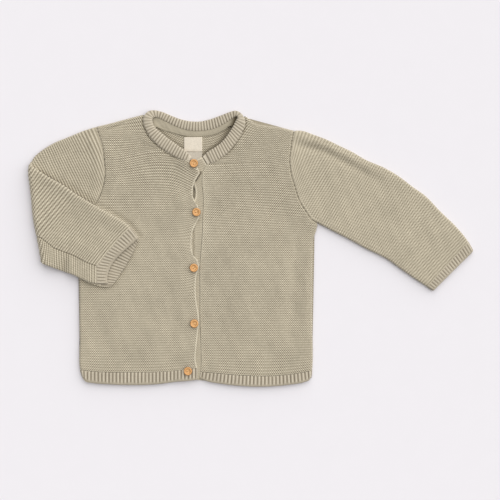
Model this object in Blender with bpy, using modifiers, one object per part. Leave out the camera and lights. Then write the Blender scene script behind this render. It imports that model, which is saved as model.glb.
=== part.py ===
"""Baby cardigan in garter stitch, buttoned and laid flat on its back.

The sleeve on the right lies straight out and the one on the left is folded back at the elbow.
Tables are in millimetres: +X is to the right as one looks down on the garment, +Y is towards
the neck and +Z is up from the surface it lies on. The model itself is in metres.

The cloth is a wall of even thickness. Where the front and back layers meet at a side, a
shoulder or along a sleeve, they turn down and up round a small roll, so a pressed sleeve is a
flat tube. Each sewn piece is its own closed solid, a seam's width from its neighbours.
"""
import math

import bmesh
import bpy
import numpy as np

MM = 0.001

# Cloth and layers.
WALL = 2.2                     # thickness of the knitted cloth
HEIGHT = 5.8                   # front and back layers pressed flat, with air between them
MIDDLE = HEIGHT / 2            # height of the side seams, and the radius of each roll
SEAM = 0.3                     # gap between sewn pieces, and between layers that touch
TUCK = MIDDLE - math.sqrt(MIDDLE**2 - (SEAM / 2)**2)   # inset that opens a side seam by SEAM
ROLL_CUTS = (0.0, 0.8, MIDDLE)                         # from a folded edge to its flat layer
PANEL_STEP = 17.0              # width of the faces on the plain panels and sleeves
FRONT_ROWS = [(150, 15.0), (42, 6.0), (1000, 6.5)]     # up a front: how far, in what steps
BACK_ROWS = [(150, 25.0), (42, 6.0), (1000, 10.0)]     # the same for the back
CAP_STEP = 8.0                 # between a sleeve's rows along its armhole
ARM_STEP = 28.0                # and past it
RIB_RELIEF = 0.5               # how far a rib's crest stands over the cloth

# Folded edges of the body and the sleeves, from the neck or the hem outwards.
TOP_RIGHT = [(-5.6, 158.0), (-3.0, 156.2), (6.5, 149.5), (20, 146.5), (35, 145), (52, 141),
             (60.5, 141), (74.5, 136.5), (90.5, 130.5), (105, 123.5), (120.5, 116),
             (138, 106), (157, 98), (176, 87), (191, 75.5), (206.5, 64.5), (224, 46.5),
             (242, 28.5), (253.5, 14), (261.8, 0)]
SIDE_RIGHT = [(72.6, -153), (73.5, -144), (74.5, -94.5), (74.5, -47), (74.5, -7),
              (75, 14), (80, 32)]
UNDER_RIGHT = [(80, 32), (94.5, 24), (118, 12), (138, 1), (159.5, -9.5), (181.5, -25),
               (200.5, -38), (215, -47.3)]
TOP_LEFT = [(-125.6, 159.9), (-140.5, 156), (-155.5, 152), (-168.5, 148.5), (-181.5, 145.5),
            (-196, 141), (-208, 136), (-224, 128), (-239.5, 118), (-252.5, 110.5)]
SIDE_LEFT = [(-197.5, -152.5), (-200, -144), (-201, -106), (-201.5, -59), (-201.5, -14),
             (-202.5, 12), (-205.5, 32)]
UNDER_LEFT = [(-205.5, 32), (-217, 16.5), (-229, 0), (-240.5, -15.5)]

# Armhole seams, from the shoulder to the underarm.
ARMHOLE_RIGHT = [(52, 141), (50, 132), (48.5, 120.5), (47, 108.5), (48.5, 90.5), (53, 75),
                 (59, 57), (66.5, 45), (72.5, 36.5), (80, 32)]
ARMHOLE_LEFT = [(-181.5, 145.5), (-177.5, 134.5), (-173.5, 121.5), (-171.5, 104.5),
                (-170.5, 94), (-172, 79), (-176, 66), (-181.5, 54.5), (-191, 42.5),
                (-205.5, 32)]

# The folded sleeve: the line that it is folded about, and its forearm's edges as they lie.
CREASE = [(-255.5, 86.0), (-240.5, -15.5)]
FOREARM_TOP = [(-248, 92.5), (-233.5, 84), (-218.5, 75.5), (-202.5, 64.5), (-186.5, 55),
               (-170, 45.5), (-152, 35.5), (-140, 26), (-131, 14)]
FOREARM_UNDER = [(-240, -20.5), (-229.5, -22), (-219, -26), (-207.5, -29.5), (-198, -34.5),
                 (-188, -39), (-176, -41.5), (-165, -41.5)]
FOLD_AXIS = HEIGHT + SEAM / 2 + 0.1      # height of the fold's axis over the surface
FOLD_REACH = FOLD_AXIS - MIDDLE          # radius that keeps the cloth's length in the fold
FOLD_ROWS = 8                            # rows of faces round the fold
SAG = 6.1                                # how far the forearm sinks where nothing is under it
SAG_START = 8.0                          # how far past those edges it starts to
SAG_SPAN = 16.0                          # and the distance over which it does so
CUFF_SLIP = 4.0                          # how far the folded cuff's layers slide apart

# Sleeve rows: where each meets the upper edge and the armhole or underarm edge.
RIGHT_ROWS = [  # upper x, upper y, lower x, lower y
    (52, 141, 47.4, 98), (78, 135.2, 53, 75), (100, 126.2, 61.5, 52.5),
    (122.7, 114.5, 72, 36.5), (131, 110, 80, 32), (155.8, 98, 102.7, 20),
    (188.8, 78, 132, 4), (218.3, 53, 164, -12), (239.5, 31, 185, -27),
    (256.5, 9.5, 209, -43.2)]
LEFT_ARM_ROWS = [(-181.5, 145.5, -170.5, 94), (-202, 138.8, -173.5, 74),
                 (-226, 126.8, -188, 46), (-243, 116, -205.5, 32)]
LEFT_FOREARM_ROWS = [(-218.5, 75.5, -219, -26), (-186.5, 55, -204, -31),
                     (-163, 41.5, -190, -38), (-140.4, 26.3, -178, -41.3)]

# Opening edges, from the hem to the neck.
OVERLAP_EDGE = [(-62, -138.8), (-64, -130), (-63, -114.5), (-61, -96.5), (-60, -80),
                (-63, -60), (-64, -45), (-62.5, -28.5), (-60, -19), (-61.5, -12.5),
                (-67, -5), (-69, 6.5), (-66, 26), (-61, 35), (-59, 45), (-62, 53.5),
                (-67, 63.5), (-67, 73), (-63, 84.5), (-58.5, 91)]
OVERLAP_TIP = [(-58.5, 91), (-61, 96), (-64.6, 101.2), (-70.8, 103.2)]
BAND_SEAM = [(-59.4, -152.5), (-58, -143), (-57.5, -130), (-58, -106), (-59, -75.5),
             (-59, -47), (-59, -21), (-58, -4.5), (-56.5, 14), (-55.5, 39), (-55, 63.5),
             (-56.5, 82.5), (-55, 94), (-50.5, 100.5)]
BAND_EDGE = [(-74, -152), (-75, -100), (-75, -20), (-74, 40), (-71, 53), (-66, 59),
             (-64.6, 68), (-66, 76), (-71, 84), (-73, 95), (-69, 103.5)]
BAND_TOP = [(-69, 103.5), (-62.5, 107), (-57.2, 109.5), (-54.5, 105), (-51.1, 100.7)]
BAND_WALL = 2.0                # the button band is knitted a little finer
BAND_LEVEL = 2.5               # height of its underside, just over the back panel
OVERLAP_LIFT = 1.3             # how far the upper front rises to lie on the button band
OVERLAP_WIDTH = 17.0           # width of the stretch that does
UNDERLAP_DIP = 0.9             # how far the under front dips to meet the band
LAP_SLOPE = 16.0               # distance over which either change of level fades

# Hem ribbing.
HEM_TOP_LEFT = [(-200, -141), (-177, -143.5), (-141.5, -144), (-106, -143.5),
                (-82.5, -141.5), (-62, -139)]
HEM_BOTTOM_LEFT = [(-197.5, -150), (-193.5, -154.5), (-182.5, -157), (-165, -158.4),
                   (-130, -159.2), (-106, -158), (-87.5, -155.5), (-68, -153.8), (-62, -153)]
HEM_TOP_RIGHT = [(-58, -143.5), (-41.5, -145), (-12, -147.5), (19, -148.5), (47, -146.5),
                 (63.5, -144), (73.5, -142)]
HEM_BOTTOM_RIGHT = [(-59.5, -151.5), (-50.5, -155), (-35.5, -157.8), (-17.5, -160),
                    (2.5, -161.2), (19, -161.2), (46, -159), (63.5, -156), (70, -153.5),
                    (72.8, -150)]
HEM_RIB = 4.3                  # width of one rib and one furrow

# Neckband: its two edges and the height of its underside, from the right front round the
# back to the left front. It turns over at the top of each shoulder.
NECKBAND = [  # seam x, seam y, free x, free y, underside
    (-50.5, 101.0, -56.0, 110.0, 2.9), (-43.5, 102.5, -50.0, 116.0, 3.4),
    (-34.0, 108.0, -40.5, 122.0, 3.8), (-25.0, 115.5, -32.5, 128.5, 3.8),
    (-16.5, 126.5, -25.5, 137.5, 3.8), (-10.0, 136.5, -20.5, 145.5, 3.8),
    (-5.8, 146.5, -17.0, 152.6, 3.6), (-6.0, 154.0, -15.9, 155.2, 2.9),
    (-9.5, 160.5, -15.9, 156.6, 2.0), (-15.5, 164.5, -17.2, 156.8, 1.1),
    (-22.5, 163.8, -20.5, 155.0, 0.3), (-33.5, 159.5, -29.5, 148.8, 0.0),
    (-45.5, 154.5, -43.0, 142.7, 0.0), (-57.5, 151.5, -56.5, 140.2, 0.0),
    (-69.5, 151.5, -71.0, 140.5, 0.0), (-81.5, 154.0, -85.0, 144.2, 0.0),
    (-93.5, 159.0, -98.0, 150.3, 0.0), (-102.5, 163.0, -106.0, 154.5, 0.3),
    (-111.0, 165.0, -110.6, 156.2, 1.1), (-118.5, 164.5, -112.8, 156.2, 2.0),
    (-124.0, 160.5, -114.2, 155.2, 2.9), (-126.0, 154.5, -114.7, 153.2, 3.4),
    (-125.5, 147.5, -114.2, 149.8, 3.8), (-122.5, 140.5, -112.0, 145.2, 3.8),
    (-117.5, 132.0, -107.8, 141.2, 3.8), (-108.0, 122.5, -99.5, 134.3, 3.8),
    (-98.5, 115.5, -91.0, 128.0, 3.8), (-88.5, 109.5, -82.0, 121.6, 3.9),
    (-79.0, 105.5, -74.5, 116.0, 4.4), (-71.5, 104.0, -68.8, 109.5, 5.1)]
BACK_STATIONS = (10, 17)       # first and last rows of the table that lie on the back panel
NECKBAND_HEIGHT = 4.3
NECKBAND_RIB = 4.3
NECKBAND_RELIEF = 0.45
NECKBAND_SECTION = [  # across, up, share of the rib's relief
    (1.00, 0.42, 0.0), (0.82, 0.82, 0.7), (0.35, 1.00, 1.0), (-0.35, 1.00, 1.0),
    (-0.82, 0.82, 0.7), (-1.00, 0.42, 0.0), (-0.74, 0.00, 0.0), (0.74, 0.00, 0.0)]

# Neck tape, label and the tab under it.
TAPE_LOWER = [(-110.5, 145.5), (-102.5, 141.5), (-93.5, 139), (-78, 134.8), (-67.5, 133.8),
              (-57.5, 134.2), (-46, 135.4), (-36.5, 138.6), (-28.5, 143), (-23.5, 147)]
TAPE_WALL = 1.0
LABEL_X = (-78.0, -56.5)
LABEL_Y = (116.0, 133.4)
TAB = [(-78.0, 104.0), (-70.0, 104.2), (-62.8, 107.5), (-57.4, 110.0), (-56.5, 110.2),
       (-56.5, 115.7), (-78.0, 115.7)]     # its lower edge stops at the button band
LABEL_WALL = 1.0
TAB_WALL = 1.0

# Sleeve cuffs: the outer end, at the upper and the lower edge.
CUFF_END_RIGHT = (261.8, 0.0, 215.0, -47.3)
CUFF_END_LEFT = (-131.0, 14.0, -165.0, -41.5)
CUFF_RIBS = 15                 # ribs across one face, between its rolled edges

# Soft folds pressed into the front: from, to, half width and height.
FOLDS = [  # x0, y0, x1, y1, half width, height
    (66.5, 122, 108.5, 106, 5.5, -0.9),      # hollow under the sleeve's upper edge
    (108.5, 106, 147.5, 86, 5.0, -0.6),
    (58, 29, 49.5, -112, 7.0, -0.9),         # hollow beside the rolled side
    (35, 71, 26, 41, 17.0, -0.6),            # soft dip on the chest
    (-150, 60, -120, 20, 16.0, -0.5)]

# Buttons.
BUTTON_X_Y = [(-66, 102), (-63, 44.5), (-66, -21), (-65.5, -86.5), (-73, -142.5)]
BUTTON_LEVEL = HEIGHT + OVERLAP_LIFT + RIB_RELIEF + SEAM
BUTTON_PROFILE = [(0.0, 1.5), (2.6, 1.5), (3.2, 2.6), (4.4, 2.7), (5.0, 1.6), (4.4, 0.1),
                  (0.0, 0.0)]              # radius and height, top to bottom
BUTTON_FACETS = 18

COLOURS = {  # linear colour and roughness
    "knit": ((0.47, 0.41, 0.31), 0.95),
    "rib": ((0.49, 0.43, 0.33), 0.95),
    "tape": ((0.42, 0.37, 0.29), 0.9),
    "label": ((0.82, 0.78, 0.70), 0.8),
    "size_tab": ((0.66, 0.62, 0.54), 0.8),
    "wood": ((0.72, 0.33, 0.10), 0.45),
}


# ---------------------------------------------------------------- lines in the plane

def smooth_line(points, step=1.5):
    """A dense smooth line through the points of a table."""
    points = np.array(points, float)
    along = lengths(points)
    slope = np.gradient(points, along, axis=0)
    at = np.linspace(0, along[-1], max(2, round(along[-1] / step)) + 1)
    span = np.clip(np.searchsorted(along, at, side="right") - 1, 0, len(points) - 2)
    width = (along[span + 1] - along[span])[:, None]
    t = (at - along[span])[:, None] / width
    return (points[span] * (2 * t**3 - 3 * t**2 + 1)
            + slope[span] * width * (t**3 - 2 * t**2 + t)
            + points[span + 1] * (3 * t**2 - 2 * t**3)
            + slope[span + 1] * width * (t**3 - t**2))


def lengths(line):
    """Length along a line up to each of its points."""
    steps = np.linalg.norm(np.diff(line, axis=0), axis=1)
    return np.concatenate([[0.0], np.cumsum(steps)])


def read(line, fraction):
    """Points of a line at fractions of its length."""
    along = lengths(line)
    at = np.asarray(fraction) * along[-1]
    return np.stack([np.interp(at, along, line[:, axis]) for axis in (0, 1)], axis=-1)


def fraction_of(line, point):
    """Fraction of the line's length at its nearest place to a point."""
    fine = np.linspace(0, 1, 2001)
    return fine[np.linalg.norm(read(line, fine) - point, axis=1).argmin()]


def part(line, start, end):
    """The stretch of a line between its nearest places to two points."""
    first = fraction_of(line, start)
    last = fraction_of(line, end)
    return read(line, np.linspace(first, last, len(line)))


def shifted(line, distance):
    """The line moved sideways, to the left of its own direction."""
    direction = np.gradient(line, axis=0)
    direction /= np.linalg.norm(direction, axis=1, keepdims=True)
    return line + distance * np.stack([-direction[:, 1], direction[:, 0]], axis=-1)


def from_lines(points, lines):
    """Distance from the nearest of some lines, and the direction away from it.

    On a line itself the direction is to the line's left.
    """
    starts = np.vstack([line[:-1] for line in lines])
    along = np.vstack([line[1:] for line in lines]) - starts
    reach = points[:, None, :] - starts
    share = np.clip((reach * along).sum(2) / (along**2).sum(1), 0, 1)
    away = reach - share[..., None] * along
    distance = np.linalg.norm(away, axis=2)
    nearest = distance.argmin(axis=1)
    pick = np.arange(len(points))
    left = np.stack([-along[nearest, 1], along[nearest, 0]], axis=-1)
    left /= np.linalg.norm(left, axis=1, keepdims=True)
    direction = away[pick, nearest] + 0.05 * left
    direction /= np.maximum(np.linalg.norm(direction, axis=1, keepdims=True), 1e-9)
    return distance[pick, nearest], direction


def left_of(points, line):
    """Distance from a line, positive on the left of its direction."""
    distance, away = from_lines(points, [line])
    direction = line[-1] - line[0]
    side = direction[0] * away[:, 1] - direction[1] * away[:, 0]
    return distance * np.sign(side)


def ease(t):
    """Smooth step from 0 to 1."""
    t = np.clip(t, 0, 1)
    return t * t * (3 - 2 * t)


# ---------------------------------------------------------------- the cloth's form

def soft_folds(flat):
    """Height that the soft folds add to the front layer."""
    height = np.zeros(len(flat))
    for x0, y0, x1, y1, half_width, depth in FOLDS:
        distance, _ = from_lines(flat, [np.array([(x0, y0), (x1, y1)], float)])
        height += depth * np.exp(-(distance / half_width)**2)
    return height


def lay(flat, depth, side, edges):
    """Points of the cloth at a depth under its outer face.

    side is 1 on the front layer, -1 on the back layer and 0 on the folded edge between them.
    Each edge line runs with the cloth on its left.
    """
    distance, inward = from_lines(flat, edges)
    radius = MIDDLE - depth
    short = MIDDLE - np.minimum(distance, MIDDLE)
    cosine = short / MIDDLE
    rise = np.maximum(radius * np.sqrt(1 - cosine**2), SEAM / 2)
    across = flat + inward * (short - radius * cosine)[:, None]
    front = np.where(side > 0, soft_folds(flat) * np.clip(distance / (2 * MIDDLE), 0, 1), 0)
    return np.column_stack([across, MIDDLE + side * rise + front])


def spaced(length, step, rolled_start, rolled_end):
    """Fractions of a row's length, closer together at its rolled ends."""
    start = np.array(ROLL_CUTS if rolled_start else (0.0,))
    end = length - np.array(ROLL_CUTS if rolled_end else (0.0,))[::-1]
    count = step_count(length, step)
    middle = np.linspace(start[-1], end[0], count + 1)[1:-1]
    return np.concatenate([start, middle, end]) / length


def step_count(length, step):
    """Number of even steps that fill a length."""
    return max(1, round(length / step))


def patch(left, right, bottom, top, across, up):
    """Points of a four-sided piece, in rows that run from its left edge to its right edge.

    across holds a fraction for each column and up one for each row.
    """
    row_left = read(left, up)[:, None]
    row_right = read(right, up)[:, None]
    u = across[None, :, None]
    v = up[:, None, None]
    bow_bottom = read(bottom, across) - bottom[0] - across[:, None] * (bottom[-1] - bottom[0])
    bow_top = read(top, across) - top[0] - across[:, None] * (top[-1] - top[0])
    return (1 - u) * row_left + u * row_right + (1 - v) * bow_bottom + v * bow_top


# ---------------------------------------------------------------- solids

def cloth_wall(name, outer, inner, material):
    """A closed wall between an outer and an inner grid of points."""
    rows, columns = outer.shape[:2]
    mesh = bmesh.new()
    layers = [[[mesh.verts.new(point * MM) for point in row] for row in grid]
              for grid in (outer, inner)]
    for layer in layers:
        for i in range(rows - 1):
            for j in range(columns - 1):
                mesh.faces.new((layer[i][j], layer[i][j + 1],
                                layer[i + 1][j + 1], layer[i + 1][j]))
    rim = ([(0, j) for j in range(columns)]
           + [(i, columns - 1) for i in range(1, rows)]
           + [(rows - 1, j) for j in range(columns - 2, -1, -1)]
           + [(i, 0) for i in range(rows - 2, 0, -1)])
    for here, there in zip(rim, rim[1:] + rim[:1]):
        mesh.faces.new((layers[0][here[0]][here[1]], layers[0][there[0]][there[1]],
                        layers[1][there[0]][there[1]], layers[1][here[0]][here[1]]))
    return finished(name, mesh, material)


def finished(name, mesh, material):
    """An object from a bmesh, with its faces turned outwards."""
    bmesh.ops.recalc_face_normals(mesh, faces=mesh.faces)
    data = bpy.data.meshes.new(name)
    mesh.to_mesh(data)
    mesh.free()
    data.shade_smooth()
    data.set_sharp_from_angle(angle=math.radians(50))
    obj = bpy.data.objects.new(name, data)
    data.materials.append(material)
    GARMENT.objects.link(obj)
    return obj


def pressed(name, flat, side, edges, material, relief=None, lift=None, slide=None, shape=None):
    """A piece of cloth from its flat points, laid, then lifted, slid and shaped if need be."""
    shape_of_grid = flat.shape[:2]
    points = flat.reshape(-1, 2)
    side = np.broadcast_to(side, shape_of_grid).reshape(-1)
    relief = np.zeros(len(points)) if relief is None else relief.reshape(-1)
    layers = []
    for depth in (-relief, np.full(len(points), WALL)):
        layer = lay(points, depth, side, edges)
        if lift is not None:
            layer[:, 2] += lift(points)
        if slide is not None:
            layer[:, :2] += slide.reshape(-1, 2)
        if shape is not None:
            layer = shape(layer)
        layers.append(layer.reshape(*shape_of_grid, 3))
    return cloth_wall(name, layers[0], layers[1], material)


def strip_solid(name, corners, bottom, top, material):
    """A flat piece with the plan of a closed line, between two levels."""
    mesh = bmesh.new()
    verts = [mesh.verts.new((x * MM, y * MM, bottom * MM)) for x, y in corners]
    face = mesh.faces.new(verts)
    raised = bmesh.ops.extrude_face_region(mesh, geom=[face])
    moved = [item for item in raised["geom"] if isinstance(item, bmesh.types.BMVert)]
    bmesh.ops.translate(mesh, verts=moved, vec=(0, 0, (top - bottom) * MM))
    return finished(name, mesh, material)


def knit_material(slot):
    """A plain material in a slot's colour."""
    colour, roughness = COLOURS[slot]
    material = bpy.data.materials.new(slot)
    material.use_nodes = True
    shader = material.node_tree.nodes["Principled BSDF"]
    shader.inputs["Base Color"].default_value = (*colour, 1)
    shader.inputs["Roughness"].default_value = roughness
    shader.inputs["Metallic"].default_value = 0
    material.diffuse_color = (*colour, 1)
    return material


# ---------------------------------------------------------------- panels

def overlap_lift(flat):
    """How far the upper front rises towards its opening edge."""
    edge = np.interp(flat[:, 1], OVERLAP[:, 1], OVERLAP[:, 0])
    return OVERLAP_LIFT * ease((flat[:, 0] - edge + OVERLAP_WIDTH + LAP_SLOPE) / LAP_SLOPE)


def underlap_dip(flat):
    """How far the under front sinks towards the button band."""
    edge = np.interp(flat[:, 1], SEAM_LINE[:, 1], SEAM_LINE[:, 0])
    return -UNDERLAP_DIP * ease(1 - (flat[:, 0] - edge) / LAP_SLOPE)


def rows_up(length, stretches):
    """Row fractions for a panel whose top edge is folded, from its stretches of even rows."""
    heights = [0.0]
    for stretch, step in stretches:
        stretch = min(stretch, length - MIDDLE - heights[-1])
        heights.extend(heights[-1] + np.linspace(0, stretch, step_count(stretch, step) + 1)[1:])
    return np.concatenate([heights[:-1], length - np.array(ROLL_CUTS)[::-1]]) / length


def make_front_right(material):
    """The under front, from the button band's seam to the side and the armhole."""
    seam = part(shifted(SEAM_LINE, -SEAM / 2), (-58, -143.2), SEAM_LINE[-1])
    neck = part(shifted(BAND_OUTER, -3 * SEAM), BAND_OUTER[0], TOP_RIGHT[0])
    side = part(shifted(EDGES_RIGHT[1], TUCK), (73.5, -141.7), (80, 32))
    armhole = shifted(smooth_line(ARMHOLE_RIGHT), -SEAM / 2)[::-1]
    top = part(shifted(EDGES_RIGHT[0], TUCK), TOP_RIGHT[0], armhole[-1])
    left = np.vstack([seam[:-2], neck[1:-1], top[:1]])
    right = np.vstack([side[:-1], armhole[1:-1], top[-1:]])
    bottom = shifted(smooth_line(HEM_TOP_RIGHT), SEAM / 2)
    across = spaced(132, PANEL_STEP, False, True)
    flat = patch(left, right, bottom, top, across, rows_up(310, FRONT_ROWS))
    pressed("front_right", flat, 1, EDGES_RIGHT, material, lift=underlap_dip)


def make_front_left(material):
    """The upper front, from the side and the armhole to its opening edge."""
    side = part(shifted(EDGES_LEFT[1], TUCK), (-200, -140.7), (-205.5, 32))
    armhole = shifted(smooth_line(ARMHOLE_LEFT), SEAM / 2)[::-1]
    neck = part(shifted(BAND_OUTER, -2 * SEAM), TOP_LEFT[0], BAND_OUTER[-1])[::-1]
    tip = smooth_line(OVERLAP_TIP)
    top = part(shifted(EDGES_LEFT[0], TUCK), armhole[-1], TOP_LEFT[0])
    left = np.vstack([side[:-1], armhole[1:-1], top[:1]])
    right = np.vstack([OVERLAP, tip[1:-1], neck[:-1], top[-1:]])
    bottom = shifted(smooth_line(HEM_TOP_LEFT), SEAM / 2)
    across = spaced(137, PANEL_STEP, True, False)
    flat = patch(left, right, bottom, top, across, rows_up(310, FRONT_ROWS))
    pressed("front_left", flat, 1, EDGES_LEFT, material, lift=overlap_lift)


def make_back(material):
    """The back panel, flat on the surface, cut out for the back of the neckband."""
    sides = []
    shoulders = []
    for edges, hem_point, armpit, armhole, neck_point, turn in (
            (EDGES_LEFT, (-200, -141.5), (-205.5, 32), ARMHOLE_LEFT, TOP_LEFT[0], 1),
            (EDGES_RIGHT, (73.5, -141.5), (80, 32), ARMHOLE_RIGHT, TOP_RIGHT[0], -1)):
        side = part(shifted(edges[1], TUCK), hem_point, armpit)
        seam = shifted(smooth_line(armhole), turn * SEAM / 2)[::-1]
        shoulder = part(shifted(edges[0], TUCK), seam[-1], neck_point)
        sides.append(np.vstack([side[:-1], seam[1:-1], shoulder[:1]]))
        shoulders.append(shoulder)
    bottom = np.array([(-200, -141.5), (-60, -141.5), (73.5, -141.5)], float)
    first, last = BACK_STATIONS
    lower_edge = part(shifted(BAND_INNER, 2 * SEAM), NECKBAND[first][2:4], NECKBAND[last][2:4])
    top = np.vstack([shoulders[0], [(-126.6, 151.5), (-115.2, 151.5)], lower_edge[::-1],
                     [(-15.6, 153.6), (-5.2, 151.5)], shoulders[1][::-1]])
    across = spaced(274, PANEL_STEP, True, True)
    flat = patch(sides[0], sides[1], bottom, top, across, rows_up(300, BACK_ROWS))
    pressed("back", flat, -1, EDGES_LEFT + EDGES_RIGHT, material)


def make_button_band(material):
    """The plain band on the under front's edge, beneath the overlap."""
    left = smooth_line(BAND_EDGE)
    right = shifted(SEAM_LINE, SEAM)
    bottom = np.array([left[0], right[0]])
    top = np.array(BAND_TOP, float)
    flat = patch(left, right, bottom, top, np.linspace(0, 1, 3), np.linspace(0, 1, 31))
    level = np.full((*flat.shape[:2], 1), BAND_LEVEL)
    outer = np.concatenate([flat, level + BAND_WALL], axis=2)
    inner = np.concatenate([flat, level], axis=2)
    cloth_wall("button_band", outer, inner, material)


def rib_relief(count_across, rows):
    """Relief of a ribbed strip: every other column of its points is a crest."""
    crest = RIB_RELIEF * (np.arange(count_across) % 2)
    return np.broadcast_to(crest, (rows, count_across)).copy()


def make_front_hem(name, left, right, bottom, top, edges, lift, material):
    """A ribbed hem strip under a front."""
    width = lengths(bottom)[-1]
    columns = 2 * step_count(width, HEM_RIB) + 1
    flat = patch(left, right, bottom, top, np.linspace(0, 1, columns), np.linspace(0, 1, 2))
    relief = rib_relief(columns, 2)
    pressed(name, flat, 1, edges, material, relief=relief, lift=lift)


def make_hems(material):
    """The ribbed hems: one under each front and one under the back."""
    bottom = smooth_line(HEM_BOTTOM_LEFT)
    top = shifted(smooth_line(HEM_TOP_LEFT), -SEAM / 2)
    side = part(shifted(EDGES_LEFT[1], TUCK), bottom[0], (-200, -141.3))
    opening = np.array([bottom[-1], (-62, -145), top[-1]], float)
    make_front_hem("hem_front_left", side, opening, bottom, top, EDGES_LEFT, overlap_lift,
                   material)
    bottom = smooth_line(HEM_BOTTOM_RIGHT)
    top = shifted(smooth_line(HEM_TOP_RIGHT), -SEAM / 2)
    opening = part(shifted(SEAM_LINE, -SEAM / 2), bottom[0], (-58, -143.8))
    side = part(shifted(EDGES_RIGHT[1], TUCK), bottom[-1], (73.5, -142.3))
    make_front_hem("hem_front_right", opening, side, bottom, top, EDGES_RIGHT, underlap_dip,
                   material)
    left = part(shifted(EDGES_LEFT[1], TUCK), (-198, -151), (-200, -141.8))
    right = part(shifted(EDGES_RIGHT[1], TUCK), (73, -151), (73.5, -141.8))
    bottom = smooth_line([(-197.6, -151), (-165, -157.5), (-100, -157), (-62, -153.5),
                          (-35, -157), (10, -159.5), (46, -158), (72.7, -151)])
    top = np.array([(-200, -141.8), (-60, -141.8), (73.5, -141.8)], float)
    across = spaced(272, PANEL_STEP, True, True)
    flat = patch(left, right, bottom, top, across, np.linspace(0, 1, 2))
    pressed("hem_back", flat, -1, EDGES_LEFT + EDGES_RIGHT, material)


# ---------------------------------------------------------------- neck

def neckband_line(first):
    """One edge of the neckband as a dense line, from its column of the table."""
    table = np.array(NECKBAND)
    return smooth_at(table[:, first:first + 2], np.linspace(0, len(table) - 1, 240))


def make_neckband(material):
    """The ribbed band round the neck, one rounded strip that turns over at the shoulders."""
    table = np.array(NECKBAND)
    middle = (table[:, 0:2] + table[:, 2:4]) / 2
    along = lengths(middle)
    count = 2 * step_count(along[-1], NECKBAND_RIB)
    at = np.linspace(0, along[-1], count + 1)
    key = np.interp(at, along, np.arange(len(table)))
    seam = smooth_at(table[:, 0:2], key)
    free = smooth_at(table[:, 2:4], key)
    level = np.interp(key, np.arange(len(table)), table[:, 4])
    mesh = bmesh.new()
    rings = []
    for i in range(count + 1):
        centre = (seam[i] + free[i]) / 2
        half = (seam[i] - free[i]) / 2
        ring = []
        for across, up, share in NECKBAND_SECTION:
            x, y = centre + half * across
            z = level[i] + NECKBAND_HEIGHT * up - NECKBAND_RELIEF * share * (i % 2)
            ring.append(mesh.verts.new((x * MM, y * MM, z * MM)))
        rings.append(ring)
    for here, there in zip(rings, rings[1:]):
        for j in range(len(here)):
            mesh.faces.new((here[j - 1], here[j], there[j], there[j - 1]))
    mesh.faces.new(rings[0])
    mesh.faces.new(rings[-1])
    finished("neckband", mesh, material)


def smooth_at(points, key):
    """Points read smoothly from a table at fractional row numbers."""
    rows = np.arange(len(points))
    slope = np.gradient(points, axis=0)
    first = np.clip(key.astype(int), 0, len(rows) - 2)
    t = (key - first)[:, None]
    return (points[first] * (2 * t**3 - 3 * t**2 + 1) + slope[first] * (t**3 - 2 * t**2 + t)
            + points[first + 1] * (3 * t**2 - 2 * t**3) + slope[first + 1] * (t**3 - t**2))


def make_tape(material):
    """The tape over the back neck seam, on the inside of the back panel."""
    upper = part(shifted(BAND_INNER, 3 * SEAM), TAPE_LOWER[-1], TAPE_LOWER[0])[::-1]
    lower = smooth_line(TAPE_LOWER)
    fractions = np.linspace(0, 1, 25)
    corners = np.vstack([read(lower, fractions), read(upper, fractions)[::-1]])
    level = WALL + SEAM
    strip_solid("neck_tape", corners, level, level + TAPE_WALL, material)


def make_labels(label_material, tab_material):
    """The blank neck label and the blank tab that shows under it."""
    level = WALL + SEAM
    corners = [(LABEL_X[0], LABEL_Y[0]), (LABEL_X[1], LABEL_Y[0]),
               (LABEL_X[1], LABEL_Y[1]), (LABEL_X[0], LABEL_Y[1])]
    strip_solid("label", corners, level, level + LABEL_WALL, label_material)
    strip_solid("size_tab", TAB, level, level + TAB_WALL, tab_material)


# ---------------------------------------------------------------- sleeves

def fold_frame():
    """A point of the fold's axis, its direction and the direction out past the fold."""
    start = np.array(CREASE[0])
    along = np.array(CREASE[1]) - start
    along /= np.linalg.norm(along)
    return start, along, np.array([along[1], -along[0]])


def unfold(points):
    """Where points of the forearm lie before the sleeve is folded."""
    start, _, out = fold_frame()
    points = np.array(points, float)
    past = math.pi * FOLD_REACH - (points - start) @ out
    return points + ((past - (points - start) @ out))[:, None] * out


def fold(points):
    """Turn the part of the sleeve past the crease up and back over the rest."""
    start, _, out = fold_frame()
    past = (points[:, :2] - start) @ out
    radius = FOLD_AXIS - points[:, 2]
    angle = np.clip(past / FOLD_REACH, 0, math.pi)
    beyond = np.maximum(past - math.pi * FOLD_REACH, 0)
    turned = np.where(past > 0, radius * np.sin(angle) - beyond, past)
    level = np.where(past > 0, FOLD_AXIS - radius * np.cos(angle), points[:, 2])
    flat = points[:, :2] + (turned - past)[:, None] * out
    level -= sag(flat) * ease(angle / math.pi)
    return np.column_stack([flat, level])


def sag(flat):
    """How far the forearm sinks between the upper arm and the body's side."""
    off_arm = left_of(flat, smooth_line(UNDER_LEFT))
    off_body = left_of(flat, smooth_line(SIDE_LEFT))
    clear = np.minimum(off_arm, off_body)
    return SAG * ease((clear - SAG_START) / SAG_SPAN)


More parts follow.
